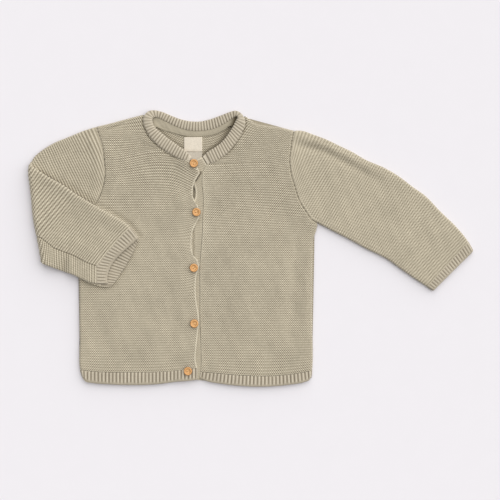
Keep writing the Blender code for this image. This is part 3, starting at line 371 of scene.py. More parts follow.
def shifted(line, distance):
    """The line moved sideways, to the left of its own direction."""
    direction = np.gradient(line, axis=0)
    direction /= np.linalg.norm(direction, axis=1, keepdims=True)
    return line + distance * np.stack([-direction[:, 1], direction[:, 0]], axis=-1)


def tucked(line, start, end):
    """A stretch of an outer edge, drawn in to open its seam."""
    return part(shifted(line, TUCK), start, end)


def from_lines(flat, lines):
    """Distance of points from the nearest of some lines, and the direction away from it.

    On a line itself the direction is to the line's left.
    """
    points = flat.reshape(-1, 2)
    starts = np.vstack([line[:-1] for line in lines])
    along = np.vstack([line[1:] for line in lines]) - starts
    left = np.stack([-along[:, 1], along[:, 0]], axis=-1)
    left /= np.linalg.norm(left, axis=1, keepdims=True)
    distances = []
    directions = []
    for some in np.array_split(points, len(points) // BLOCK + 1):
        reach = some[:, None] - starts
        share = np.clip((reach * along).sum(2) / (along**2).sum(1), 0, 1)
        away = reach - share[..., None] * along
        distance = np.linalg.norm(away, axis=2)
        nearest = distance.argmin(axis=1)
        pick = np.arange(len(some))
        direction = away[pick, nearest] + 0.05 * left[nearest]
        direction /= np.maximum(np.linalg.norm(direction, axis=1, keepdims=True), 1e-9)
        distances.append(distance[pick, nearest])
        directions.append(direction)
    return (np.concatenate(distances).reshape(flat.shape[:-1]),
            np.concatenate(directions).reshape(flat.shape))


def distance_from(flat, *lines):
    """Distance of points from the nearest of some lines."""
    return from_lines(flat, lines)[0]


def left_of(flat, line):
    """Distance from a line, positive on the left of its direction."""
    distance, away = from_lines(flat, [line])
    direction = line[-1] - line[0]
    return distance * np.sign(direction[0] * away[..., 1] - direction[1] * away[..., 0])


def past(flat, line):
    """How far points are to the right of a line that runs up the garment."""
    return flat[..., 0] - np.interp(flat[..., 1], line[:, 1], line[:, 0])


# ---------------------------------------------------------------- the cloth's form

def soft_folds(flat, folds):
    """Height that soft folds and a faint unevenness add to a layer of cloth."""
    x, y = np.moveaxis(flat, -1, 0)
    height = RIPPLE * (np.sin(0.17 * x + 0.05 * y) * np.sin(0.13 * y - 0.06 * x + 1)
                       + np.sin(0.31 * x - 0.12 * y + 2) * np.sin(0.27 * y + 0.09 * x))
    for half_width, table in folds:
        table = np.array(table, float)
        near = (np.abs(flat - (table[:, :2].min(0) + table[:, :2].max(0)) / 2)
                < np.ptp(table[:, :2], axis=0) / 2 + 3 * half_width).all(axis=-1)
        best = np.full(near.sum(), 1e9)
        level = np.zeros(near.sum())
        for here, there in zip(table, table[1:]):
            along = there[:2] - here[:2]
            share = np.clip((flat[near] - here[:2]) @ along / (along @ along), 0, 1)
            away = np.linalg.norm(flat[near] - here[:2] - share[:, None] * along, axis=1)
            level = np.where(away < best, here[2] + share * (there[2] - here[2]), level)
            best = np.minimum(best, away)
        height[near] += level * bell(best, half_width)
    return height


def lay(flat, depth, side, edges, outer):
    """Points of the cloth at a depth under its outer face, whose underside stays on the floor."""
    distance, inward = from_lines(flat, edges)
    if outer:
        depth = depth + (side < 0) * ease(distance / MIDDLE) * RELIEF / 2
    radius = MIDDLE - depth
    short = MIDDLE - np.minimum(distance, MIDDLE)
    cosine = short / MIDDLE
    rise = np.maximum(radius * np.sqrt(1 - cosine**2), SEAM / 2)
    across = flat + inward * (short - radius * cosine)[..., None]
    front = (side > 0) * soft_folds(flat, FOLDS) * np.clip(distance / (2 * MIDDLE), 0, 1)
    return np.dstack([across, MIDDLE + side * rise + front])


def cloth_length(width, rolled_start, rolled_end):
    """Length of the cloth over a flat width with rolled ends."""
    return width + (TURN - MIDDLE) * (rolled_start + rolled_end)


def even_steps(width, step, rolled_start, rolled_end):
    """Places across a flat width, even along the cloth, and their lengths of cloth."""
    total = cloth_length(width, rolled_start, rolled_end)
    cloth = np.linspace(0, total, max(2, round(total / step)) + 1)
    return flat_places(cloth, width, rolled_start, rolled_end), cloth


def flat_places(cloth, width, rolled_start, rolled_end):
    """Places across a flat width for lengths along the cloth."""
    total = cloth_length(width, rolled_start, rolled_end)
    flat = cloth - (TURN - MIDDLE) * rolled_start
    if rolled_start:
        flat = np.where(cloth < TURN, rolled_place(cloth), flat)
    if rolled_end:
        flat = np.where(total - cloth < TURN, width - rolled_place(total - cloth), flat)
    return flat


def rolled_place(cloth):
    """How far in from a rolled edge a length of cloth from it reaches."""
    return MIDDLE * (1 - np.cos(np.minimum(cloth, TURN) / MIDDLE))


def mixed_steps(*stretches):
    """Lengths from 0 through stretches that each have their own step."""
    at = [0.0]
    for end, step in stretches:
        count = max(1, round((end - at[-1]) / step))
        at += list(np.linspace(at[-1], end, count + 1)[1:])
    return np.array(at)


def squeezed(columns, left_x, right_x):
    """Each row's places across, which leave out columns where a panel narrows.

    columns are places across the widest row, and the result is a share of each row's width.
    """
    first = columns[0]
    last = columns[-1]
    width = (right_x - left_x)[:, None]
    zone = np.minimum(22, 0.42 * width)
    low = np.maximum(left_x[:, None], first) + zone
    high = np.minimum(right_x[:, None], last) - zone
    start = left_x[:, None] + (columns - first) * (low - left_x[:, None]) / (low - first)
    end = right_x[:, None] - (last - columns) * (right_x[:, None] - high) / (last - high)
    place = np.where(columns < low, start, np.where(columns > high, end, columns))
    return (place - left_x[:, None]) / width


def patch(left, right, bottom, top, across, up):
    """Points of a four-sided piece, in rows that run from its left edge to its right edge."""
    u = across[None, :, None]
    v = up[:, None, None]
    return ((1 - u) * read(left, up)[:, None] + u * read(right, up)[:, None]
            + (1 - v) * bow_of(bottom, across) + v * bow_of(top, across))


def over(flat, values):
    """Values repeated over a grid of points."""
    return np.broadcast_to(values, flat.shape[:2])


# ---------------------------------------------------------------- relief of the knitting

def wandered(ridges, stitches):
    """Stitch numbers whose columns wander a little from row to row."""
    slow = 0.25 * np.sin(0.19 * ridges + 0.7 * np.sin(0.06 * stitches))
    return stitches + slow + 0.15 * np.sin(0.12 * stitches + 0.09 * ridges + 1)


def stitch_relief(ridges, stitches, bumps=0.55, strength=1.0, lean=0.2, seed=1):
    """Crest heights, mostly 0 to 1, of garter ridges and the loops that alternate with them.

    lean, from -1 to 1, is how far the loops slant to one side.
    """
    rows, rising, falling = (np.cos(2 * math.pi * (ridges + turn * stitches)) for turn in (0, 1, -1))
    dots = 0.5 * (1 + lean) * rising + 0.5 * (1 - lean) * falling
    uneven = np.random.default_rng(seed).uniform(0.8, 1.0, (97, 89))
    picked = uneven[np.round(ridges).astype(int) % 97, np.round(2 * stitches).astype(int) % 89]
    crest = (0.5 + 0.5 * ((1 - bumps) * rows + bumps * dots))**1.35 * picked
    return FLAT_CREST + strength * (crest - FLAT_CREST)


def front_relief(y, ridges, stitches, bumps, low, flatter, lean, seed):
    """Stitches of a front, which stand out more towards the neck and less at the shoulder."""
    strength = (low + (1.30 - low) * ease((y - 10) / 110)) * (1 - flatter * ease((ridges - 95) / 6))
    return stitch_relief(ridges, stitches, bumps, strength, lean, seed)


def rib_relief(ribs, rows, from_free=9.0, from_sewn=9.0, seed=1):
    """Crest heights from 0 to 1 of ribbing, whose furrows end unevenly short of its edges.

    from_free and from_sewn are distances from its free edge and from where it is sewn on.
    """
    furrow = np.floor(ribs).astype(int) % 211
    chance = np.random.default_rng(seed)
    depth = chance.uniform(0.72, 1.0, 211)[furrow]
    start = chance.uniform(-1.2, 1.0, 211)[furrow]
    end = chance.uniform(0.4, 1.8, 211)[furrow]
    depth = depth * ease((from_sewn - start + 0.4) / 1.6) * ease((from_free - end) / 2.8)
    wave = (0.5 + 0.5 * np.cos(2 * math.pi * ribs))**0.8
    bump = 0.5 + 0.5 * np.cos(2 * math.pi * (rows + 0.5 * np.abs(np.sin(math.pi * ribs))))
    return RIM * (1 - depth) + depth * wave * (0.80 + 0.12 * bump)


def near_seam(flat, line, reach=1.5, drop=1.1):
    """How far the relief shows beside a sewn seam, and how deep the cloth dips into it."""
    distance = distance_from(flat, line)
    x, y = np.moveaxis(flat, -1, 0)
    uneven = 0.6 + 0.4 * np.sin(0.9 * x + 0.4 * y) * np.sin(1.3 * y - 0.3 * x)
    return ease((distance - 0.5) / reach), drop * uneven * bell(distance, 0.9)


def sewn(crest, shows, dip):
    """Crest heights that fade beside a seam and are lowest in it."""
    return crest * shows + 0.5 * (1 - shows) - 0.22 * dip


def neck_line(flat, start, reach):
    """The sewn line on a front beside the neckband, which shows from some height up."""
    y = flat[..., 1]
    return (bell(distance_from(flat, BAND_OUTER), 0.6, 0.9)
            * (ease((y - start) / reach) * (0.75 + 0.25 * np.sin(1.7 * y))))


def rounding(distance, reach, drop):
    """How far the cloth rounds down at a free edge."""
    return drop * np.clip(1 - distance / reach, 0, 1)**2


# ---------------------------------------------------------------- meshes

def zipped(first, second):
    """Triangles between two rims of points that run side by side."""
    first_at = np.linspace(0, 1, len(first))
    second_at = np.linspace(0, 1, len(second))
    faces = []
    i = 0
    j = 0
    while i < len(first) - 1 or j < len(second) - 1:
        ahead = i < len(first) - 1 and (j == len(second) - 1
                                        or first_at[i + 1] <= second_at[j + 1])
        if ahead:
            faces.append((first[i], second[j], first[i + 1]))
            i += 1
        else:
            faces.append((first[i], second[j], second[j + 1]))
            j += 1
    return faces


def grid_mesh(rows, columns, start, flipped=False):
    """Quads of a grid of points whose numbers start at start, and its rims in order round it."""
    number = start + np.arange(rows * columns).reshape(rows, columns)
    corners = [number[:-1, :-1], number[:-1, 1:], number[1:, 1:], number[1:, :-1]]
    if flipped:
        corners.reverse()
    rims = [number[0], number[:, -1], number[-1, ::-1], number[::-1, 0]]
    return np.stack(corners, axis=-1).reshape(-1, 4).tolist(), [rim.tolist() for rim in rims]


def round_turn(around):
    """Angles of the points round a ring."""
    return np.linspace(0, 2 * math.pi, around + 1)[:-1]


def tube_faces(rings, around, start=0):
    """Faces of a closed tube of rings of points, with its two ends."""
    number = start + np.arange(rings * around).reshape(rings, around)
    ahead = np.roll(number, -1, axis=1)
    faces = np.stack([number[:-1], ahead[:-1], ahead[1:], number[1:]], axis=-1)
    return faces.reshape(-1, 4).tolist() + [number[0, ::-1].tolist(), number[-1].tolist()]


def shell(name, outer, inner, crest, material, inner_crest, knit, inner_knit=None):
    """A closed shell of cloth between an outer grid and an inner one, which may be coarser."""
    if inner_crest is None:
        inner_crest = np.full(inner.shape[:2], 0.6)
    if inner_knit is None:
        inner_knit = np.full((*inner.shape[:2], 2), 0.25)
    faces, outer_rims = grid_mesh(*outer.shape[:2], 0)
    inner_faces, inner_rims = grid_mesh(*inner.shape[:2], crest.size, flipped=True)
    faces += inner_faces
    for outer_rim, inner_rim in zip(outer_rims, inner_rims):
        faces += zipped(outer_rim, inner_rim)
    points = np.vstack([outer.reshape(-1, 3), inner.reshape(-1, 3)])
    knits = np.vstack([knit.reshape(-1, 2), inner_knit.reshape(-1, 2)])
    return made(name, points, faces, np.append(crest, inner_crest), knits, material)


def subset(count, step):
    """Numbers of about every step-th point of a rim, with both ends."""
    return np.round(np.linspace(0, count - 1, max(2, round((count - 1) / step)) + 1)).astype(int)


def plate(name, flat, level, under, crest, knit, steps, material):
    """A shell with its upper face at given levels over an even underside."""
    pick = np.ix_(*(subset(count, step) for count, step in zip(level.shape, steps)))
    inner = np.dstack([flat[pick], np.full(level[pick].shape, under)])
    return shell(name, np.dstack([flat, level]), inner, crest, material, None, knit)


def knitted(name, flat, side, edges, crest, material, dip=0.0, lift=None, slide=None, shape=None,
            knit=None, inner_step=(12, 14), inside=None):
    """A shell of knitting from its flat points, laid, then lifted, slid and shaped."""
    pick = np.ix_(*(subset(count, step) for count, step in zip(crest.shape, inner_step)))
    side = over(flat, side)
    under = np.full(crest.shape, WALL)
    inner_crest = None
    if inside is not None:
        under += INSIDE_RELIEF * (inside - 0.3)
        # painted shade: the ribbing inside is given lower crest values, 0.9 times its own
        inner_crest = 0.9 * inside[pick]
    if slide is None:
        slide = np.zeros(flat.shape)
    layers = []
    for points, sides, depth, slides in (
            (flat, side, RELIEF * (0.5 - crest) + dip, slide),
            (flat[pick], side[pick], under[pick], slide[pick])):
        layer = lay(points, depth, sides, edges, not layers)
        if lift is not None:
            layer[..., 2] += lift(points)
        layer[..., :2] += slides
        layers.append(layer if shape is None else shape(layer))
    return shell(name, *layers, crest, material, inner_crest, np.dstack(knit))


def volume(points, faces):
    """Volume inside a closed mesh, negative where its faces look inwards."""
    total = 0.0
    for size in (3, 4):
        some = np.array([face for face in faces if len(face) == size])
        if len(some):
            for k in range(1, size - 1):
                a, b, c = points[some[:, 0]], points[some[:, k]], points[some[:, k + 1]]
                total += np.einsum("ij,ij->i", a, np.cross(b, c)).sum() / 6
    return total


def made(name, points, faces, crests, knits, material, replaces=True):
    """A piece of the garment from its points in millimetres, faces and stitch values.

    It rides on the garment in place of the solid that its name starts with, and its one material slot
    holds its material.
    """
    if volume(points, faces) < 0:
        faces = [tuple(face)[::-1] for face in faces]
    moved = np.zeros((len(points), 3))
    for x, y, reach_x, reach_y, shift_x, shift_y in NUDGES:
        away = ((points[:, 0] - x) / reach_x)**2 + ((points[:, 1] - y) / reach_y)**2
        moved[:, :2] += np.exp(-away)[:, None] * (shift_x, shift_y)
    points = points + moved + (*OFFSET, 0.0)
    mesh = bpy.data.meshes.new(name)
    mesh.from_pydata((points * MM).tolist(), [], faces)
    mesh.update()
    attribute = mesh.attributes.new("crest", "FLOAT", "POINT")
    attribute.data.foreach_set("value", np.asarray(crests, np.float32))
    corner_vertices = np.empty(len(mesh.loops), np.int32)
    mesh.loops.foreach_get("vertex_index", corner_vertices)
    layer = mesh.uv_layers.new(name="knit")
    layer.data.foreach_set("uv", np.asarray(knits, np.float32)[corner_vertices].reshape(-1))
    mesh.shade_smooth()
    mesh.set_sharp_from_angle(angle=math.radians(62))
    mesh.materials.append(material)
    piece = bpy.data.objects.new(name, mesh)
    bpy.context.scene.collection.objects.link(piece)
    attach(piece, "root")
    if replaces:
        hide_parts(name.rpartition("_")[0])
    return piece


# ---------------------------------------------------------------- materials

def new_material(name):
    """A material with its node tree and shader."""
    material = bpy.data.materials.new(name)
    material.use_nodes = True
    return material, material.node_tree, material.node_tree.nodes["Principled BSDF"]


def node(tree, kind, *values, **settings):
    """The first output of a new shader node.

    Values go to its inputs in order and settings to what they name. Outputs are linked.
    """
    made_node = tree.nodes.new(kind)
    sockets = list(zip(made_node.inputs, values))
    for name, value in settings.items():
        if hasattr(made_node, name):
            setattr(made_node, name, value)
        else:
            sockets.append((made_node.inputs[name.replace("_", " ")], value))
    for socket, value in sockets:
        if isinstance(value, bpy.types.NodeSocket):
            tree.links.new(value, socket)
        else:
            socket.default_value = value
    return made_node.outputs[0]


def object_place(tree):
    """Places on the object, in metres."""
    return node(tree, "ShaderNodeTexCoord").node.outputs["Object"]


def crest_tone(tree):
    """The crest heights of a piece's points."""
    return node(tree, "ShaderNodeAttribute", attribute_name="crest").node.outputs["Fac"]


def noise(tree, place, scale, detail, roughness=0.5):
    """Soft noise from 0 to 1."""
    return node(tree, "ShaderNodeTexNoise", Vector=place, Scale=scale, Detail=detail,
                Roughness=roughness)


def ramp(tree, source, stops):
    """A colour ramp fed by a value."""
    colour = node(tree, "ShaderNodeValToRGB", source)
    elements = colour.node.color_ramp.elements
    while len(elements) < len(stops):
        elements.new(0.5)
    for element, (place, tint) in zip(elements, stops):
        element.position = place
        element.color = (*tint, 1)
    return colour


def mottled(tree, colour, source, low, high):
    """A colour multiplied by noise that is spread from low to high."""
    spread = node(tree, "ShaderNodeMapRange", source, 0.3, 0.7, low, high)
    return node(tree, "ShaderNodeVectorMath", colour, spread, operation="MULTIPLY")


def dress(tree, shader, colour, bump_height, strength, distance, **settings):
    """Give a shader its colour, its bump and its even settings."""
    bump = node(tree, "ShaderNodeBump", Height=bump_height, Strength=strength, Distance=distance)
    tree.links.new(colour, shader.inputs["Base Color"])
    tree.links.new(bump, shader.inputs["Normal"])
    for name, value in settings.items():
        shader.inputs[name.replace("_", " ")].default_value = value


def loop_tone(tree, uv, tone, amount):
    """A tone raised on each loop of the knitting and lowered in the gaps between loops, as painted
    shade in the gaps.
    """
    split = node(tree, "ShaderNodeSeparateXYZ", uv).node
    waves = []
    for axis in "XY":
        turned = node(tree, "ShaderNodeMath", split.outputs[axis], 2 * math.pi,
                      operation="MULTIPLY")
        waves.append(node(tree, "ShaderNodeMath", turned, operation="COSINE"))
    product = node(tree, "ShaderNodeMath", *waves, operation="MULTIPLY")
    spread = node(tree, "ShaderNodeMapRange", product, -0.4, 0.4, -amount, amount)
    return node(tree, "ShaderNodeMath", tone, spread, operation="ADD")


def yarn_material(name, furrow, middle, crest, twist=0.25, fuzz=0.35, loops=0.0):
    """Spun cotton yarn: painted darker in the furrows as shade, with its twist and small flecks."""
    material, tree, shader = new_material(name)
    place = object_place(tree)
    uv = node(tree, "ShaderNodeUVMap", uv_map="knit")
    tone = crest_tone(tree)
    if loops:
        tone = loop_tone(tree, uv, tone, loops)
    # the ramp paints shade: the colour is darker where the crest value is low
    colour = ramp(tree, tone, [(0.0, furrow), (0.45, middle), (1.0, crest)])
    colour = mottled(tree, colour, noise(tree, place, 900.0, 3.0, 0.7), 0.88, 1.10)
    colour = mottled(tree, colour, noise(tree, place, 28.0, 2.0), 0.94, 1.06)
    turned = node(tree, "ShaderNodeMapping", Vector=uv, Scale=(3.0, 2.0, 1.0),
                  Rotation=(0, 0, math.radians(35)))
    plies = node(tree, "ShaderNodeTexWave", Vector=turned, Scale=1.0, Distortion=1.5, Detail=1.0)
    fibres = noise(tree, place, 2600.0, 2.0, 0.6)
    height = node(tree, "ShaderNodeMath", plies.node.outputs["Fac"], twist, fibres,
                  operation="MULTIPLY_ADD")
    dress(tree, shader, colour, height, 0.5, 0.00012, Roughness=0.92, Specular_IOR_Level=0.25,
          Sheen_Weight=fuzz, Sheen_Roughness=0.5)
    return material


def wood_material():
    """Pale varnished wood, painted darker and redder in the turned ring, down the rim's side and
    underneath, as shade.
    """
    material, tree, shader = new_material("wood")
    colour = ramp(tree, crest_tone(tree),
                  [(0.0, (0.15, 0.055, 0.02)), (0.35, (0.43, 0.19, 0.06)),
                   (0.7, (0.70, 0.36, 0.125)), (1.0, (0.78, 0.47, 0.19))])
    stretched = node(tree, "ShaderNodeMapping", Vector=object_place(tree), Scale=(260, 1500, 600))
    grain = noise(tree, stretched, 1.0, 4.0, 0.6)
    dress(tree, shader, mottled(tree, colour, grain, 0.82, 1.12), grain, 0.25, 0.0001,
          Roughness=0.38)
    return material


# ---------------------------------------------------------------- panels

def button_pull(row_end, rows_above, across):
    """How far the buttons pull the rows of the upper front near its opening edge."""
    pull = np.zeros(len(row_end))
    for level, amount in BUTTON_PULL:
        off = (row_end - level) / PULL_UP
        pull -= amount * off * np.exp(0.5 - off**2 / 2)
    pull *= ease(rows_above / 20)
    lean = np.interp(row_end, OVERLAP[:, 1], np.gradient(OVERLAP[:, 0], OVERLAP[:, 1]))
    moved = np.stack([pull * lean, pull], axis=-1)
    return moved[:, None] * np.exp(-across / PULL_ACROSS)[..., None]


def panel_flat(left, right, bottom, top, table, rolled, pulled):
    """Flat points of a panel in knitted rows, with their ridge and stitch numbers."""
    rows = np.array(table, float)
    numbers = rows[:, 4]
    left_at = [fraction_of(left, row[:2]) for row in rows]
    right_at = [fraction_of(right, row[2:4]) for row in rows]
    left_at[0], left_at[-1], right_at[0], right_at[-1] = 0, 1, 0, 1
    height = numbers[-1] * RIDGE
    flat_up, cloth_up = even_steps(height, RIDGE / PER_RIDGE, 0, 1)
    at = flat_up / RIDGE
    row_left = read(left, smooth_values(at, numbers, left_at))
    row_right = read(right, smooth_values(at, numbers, right_at))
    flat_across, cloth_across = even_steps(row_right[0, 0] - row_left[0, 0],
                                           STITCH / PER_STITCH, *rolled)
    columns = row_left[0, 0] + flat_across
    share = squeezed(columns, row_left[:, 0], row_right[:, 0])
    flat = (1 - share)[..., None] * row_left[:, None] + share[..., None] * row_right[:, None]
    width = np.linalg.norm(row_right - row_left, axis=1)[:, None]
    bow = smooth_values(at, numbers, rows[:, 5])[:, None]
    flat[..., 1] += bow * (ease((1 - share) * width / 30) * ease(share * width / 70))
    if pulled:
        flat += button_pull(row_right[:, 1], at[-1] - at, (1 - share) * width)
    for line, away in ((bottom, at * RIDGE), (top, height - at * RIDGE)):
        flat += (np.clip(1 - away / 35, 0, 1)**2)[:, None, None] * bow_of(line, share)
    stitches = (cloth_across + flat[..., 0] - columns) / STITCH
    ridges = over(flat, (cloth_up / RIDGE)[:, None])
    return flat, ridges, wandered(ridges, stitches)


def overlap_lift(flat):
    """How far the upper front rises towards its opening edge."""
    return OVERLAP_LIFT * ease((past(flat, OVERLAP) + OVERLAP_WIDTH + LAP_SLOPE) / LAP_SLOPE)


def underlap_dip(flat):
    """How far the under front sinks towards the button band."""
    return -UNDERLAP_DIP * ease(1 - past(flat, SEAM_LINE) / LAP_SLOPE)


def outer_side(edges, hem_point, armhole, neck_point, turn):
    """A panel's whole outer side, with the seam of its armhole and its shoulder."""
    side = tucked(edges[1], hem_point, armhole[-1])
    seam = shifted(smooth_line(armhole), turn * SEAM / 2)[::-1]
    shoulder = tucked(edges[0], seam[-1], neck_point)
    return np.vstack([side[:-1], seam[1:-1], shoulder[:1]]), seam, shoulder


def make_front_right(material):
    """The under front, from the button band's seam to the side and the armhole."""
    seam = part(shifted(SEAM_LINE, -SEAM / 2), (-58, -143.2), SEAM_LINE[-1])
    neck = part(shifted(BAND_OUTER, NECK_LAP), BAND_OUTER[0], TOP_RIGHT[0])
    right, armhole, shoulder = outer_side(EDGES_RIGHT, (73.5, -141.7), ARMHOLE_RIGHT,
                                          TOP_RIGHT[0], -1)
    left = np.vstack([seam[:-2], neck[1:-1], shoulder[-1:]])
    bottom = shifted(smooth_line(HEM_TOP_RIGHT), -HEM_LAP)
    flat, ridges, stitches = panel_flat(left, right, bottom, shoulder[::-1], RIGHT_FRONT_ROWS,
                                        (0, 1), False)
    y = flat[..., 1]
    shows, dip = near_seam(flat, seam, drop=0.5)
    shows_at_armhole, dip_at_armhole = near_seam(flat, armhole, drop=1.5)
    dip = dip + dip_at_armhole
    crest = front_relief(y, ridges, stitches, 0.6, 0.74, 0.35, 0.2 - 0.35 * ease((y - 50) / 60), 3)
    crest = sewn(crest, shows * shows_at_armhole, dip)
    crest += (0.04 + 0.06 * ease((y + 40) / 60)) * bell(past(flat, SEAM_LINE), 11)
    line = neck_line(flat, 106, 14)
    knitted("front_right_knit", flat, 1, EDGES_RIGHT, crest - 0.34 * line, material,
            dip + 0.5 * line, underlap_dip, knit=(stitches, ridges))


def make_front_left(material):
    """The upper front, from the side and the armhole to its opening edge."""
    left, armhole, shoulder = outer_side(EDGES_LEFT, (-200, -140.7), ARMHOLE_LEFT, TOP_LEFT[0], 1)
    neck = part(shifted(BAND_OUTER, NECK_LAP), TOP_LEFT[0], BAND_OUTER[-1])[::-1]
    tip = smooth_line(OVERLAP_TIP)
    right = np.vstack([OVERLAP, tip[1:-1], neck[:-1], shoulder[-1:]])
    bottom = shifted(smooth_line(HEM_TOP_LEFT), -HEM_LAP)
    flat, ridges, stitches = panel_flat(left, right, bottom, shoulder, LEFT_FRONT_ROWS,
                                        (1, 0), True)
    y = flat[..., 1]
    drawn = sum(bell(y, 15, level) for level in (97, 35.5, -30)) * bell(past(flat, OVERLAP), 15)
    shows, dip = near_seam(flat, armhole, drop=1.3)
    crest = front_relief(y, ridges, stitches, 0.52 - 0.4 * drawn, 0.56, 0.45,
                         -0.3 + 0.9 * ease((y - 10) / 90), 5)
    crest = sewn(crest, shows, dip)
    edge = distance_from(flat, np.vstack([OVERLAP, tip[1:]]))
    plain = ease((edge - 0.9) / 1.3)
    bead = (0.3 - 0.2 * bell(y, 16, 8)) * bell(edge, 0.7, 1.1)
    crest = crest * plain + (0.45 + bead) * (1 - plain)
    line = neck_line(flat, 104, 6)
    dip = dip + rounding(edge, 0.9, 0.8) + 0.5 * line
    knitted("front_left_knit", flat, 1, EDGES_LEFT, crest - 0.42 * line, material, dip,
            overlap_lift, knit=(stitches, ridges))


def make_back(material):
    """The back panel: ridges underneath, and stitches inside where the neck shows them."""
    left, _, left_shoulder = outer_side(EDGES_LEFT, (-200, -141.5), ARMHOLE_LEFT, TOP_LEFT[0], 1)
    right, _, right_shoulder = outer_side(EDGES_RIGHT, (73.5, -141.5), ARMHOLE_RIGHT,
                                          TOP_RIGHT[0], -1)
    bottom = np.array([(-200, -141.5), (-60, -141.5), (73.5, -141.5)], float)
    first, last = BACK_STATIONS
    under_band = part(shifted(BAND_INNER, 2 * SEAM), NECKBAND[first][2:4], NECKBAND[last][2:4])
    top = np.vstack([left_shoulder, [(-126.6, 151.5), (-115.2, 151.5)], under_band[::-1],
                     [(-15.6, 153.6), (-5.2, 151.5)], right_shoulder[::-1]])
    width = cloth_length(BACK_WIDTH, 1, 1)
    height = cloth_length(BACK_HEIGHT, 0, 1)
    ridge_step = RIDGE / PER_RIDGE
    outside = (mixed_steps((TURN, 0.65), (width - TURN, 5.0), (width, 0.65)),
               mixed_steps((height, ridge_step)))
    inside = (mixed_steps((TURN, 1.5), (76, 12), (200, STITCH / 3), (width - TURN, 12),
                          (width, 1.5)),
              mixed_steps((234, 13), (height - TURN, ridge_step), (height, 1.5)))
    layers = []
    crests = []
    knits = []
    for cloth, cloth_up in (outside, inside):
        across = flat_places(cloth, BACK_WIDTH, 1, 1) / BACK_WIDTH
        up = flat_places(cloth_up, BACK_HEIGHT, 0, 1) / BACK_HEIGHT
        flat = patch(left, right, bottom, top, across, up)
        ridges = over(flat, (cloth_up / RIDGE)[:, None])
        stitches = over(flat, cloth / STITCH)
        if layers:
            # painted shade: the inside of the back is painted darker (0.91), and a painted shadow
            # darkens it further beside the neckband's inner edge, wide on the right front and narrow
            # on the left, where the cloth is also sunk
            shade_reach = 2.8 + 3.4 * ease((flat[..., 1] - 124) / 20)
            sunk = (0.85 * bell(distance_from(flat, BAND_INNER[:60]), shade_reach)
                    + 0.42 * bell(distance_from(flat, BAND_INNER[-60:]), 2.5))
            crest = 0.91 * stitch_relief(ridges, stitches, seed=11) * (1 - sunk)
            depth = WALL - RELIEF * (1 - crest) - sunk
        else:
            crest = stitch_relief(ridges, stitches, bumps=0.0, seed=11)
            depth = RELIEF * (0.5 - crest)
        layers.append(lay(flat, depth, -1, EDGES_LEFT + EDGES_RIGHT, not layers))
        crests.append(crest)
        knits.append(np.dstack([stitches, ridges]))
    shell("back_knit", *layers, crests[0], material, crests[1], *knits)


def make_button_band(material):
    """The plain band on the under front's edge, beneath the overlap."""
    left = smooth_line(BAND_EDGE)
    right = shifted(SEAM_LINE, SEAM)
    top = np.array(BAND_TOP, float)
    across = np.linspace(0, 1, BAND_COLUMNS)
    up = np.linspace(0, 1, BAND_ROWS)
    flat = patch(left, right, np.array([left[0], right[0]]), top, across, up)
    ridges = over(flat, up[:, None] * BAND_RIDGES)
    stitches = over(flat, across * BAND_STITCHES)
    x, y = np.moveaxis(flat, -1, 0)
    edge = distance_from(flat, left, top)
    _, dip = near_seam(flat, right)
    turned = ease((y + 24) / 8) * ease((52 - y) / 8)
    groove = turned * bell(x - BAND_FOLD + 3.4 - 0.4 * np.sin(0.5 * y), 0.9)
    corner = bell(distance_from(flat, OVERLAP), 1.5) * ease((y - 79) / 4) * ease((95 - y) / 4)
    # the crest paints a highlight on the band's fold, painted shade in its groove and a painted
    # shadow of the overlap's edge (corner); groove and corner also sink the band a little
    crest = (0.22 + 0.5 * stitch_relief(ridges, stitches, bumps=0.5, seed=13)
             + 0.3 * bell(edge, 0.9, 1.3) + turned * 0.05 * bell(x, 0.9, BAND_FOLD)
             - 0.15 * groove - 0.55 * corner)
    sunk = rounding(edge, 0.8, 0.8) + 0.3 * dip + 0.6 * groove + 0.6 * corner
    level = BAND_LEVEL + BAND_WALL + 0.5 * (crest - 0.5) - sunk
    plate("button_band_knit", flat, level, BAND_LEVEL, crest, np.dstack([stitches, ridges]),
          (12, 8), material)


# ---------------------------------------------------------------- ribbing

def make_hem(name, sides, bottom, top, width, count, rolled, edges, lift, material):
    """A ribbed hem strip, which is lifted with its front, or has no lift under the back."""
    side, per_rib, rows_up, seed, inner_step = ((1, 8, 19, 17, (6, 16)) if lift
                                                else (-1, 6, 15, 19, (5, 12)))
    step = cloth_length(width, *rolled) / (count * per_rib)
    flat_across, cloth = even_steps(width, step, *rolled)
    up = np.linspace(0, 1, rows_up)
    flat = patch(*sides, bottom, top, flat_across / width, up)
    ribs = over(flat, cloth / cloth[-1] * count)
    rows = over(flat, up[:, None] * 6)
    height = HEM_HEIGHT * up[:, None]
    crest = rib_relief(ribs, rows, height, HEM_HEIGHT - height, seed)
    dip = 0.0
    if lift:
        dip = rounding(distance_from(flat, bottom), 1.2, 1.0) + 0.5 * bell(HEM_HEIGHT - height, 0.8)
    knitted(name, flat, side, edges, crest, material, dip, lift, knit=(ribs * 2, rows),
            inner_step=inner_step)


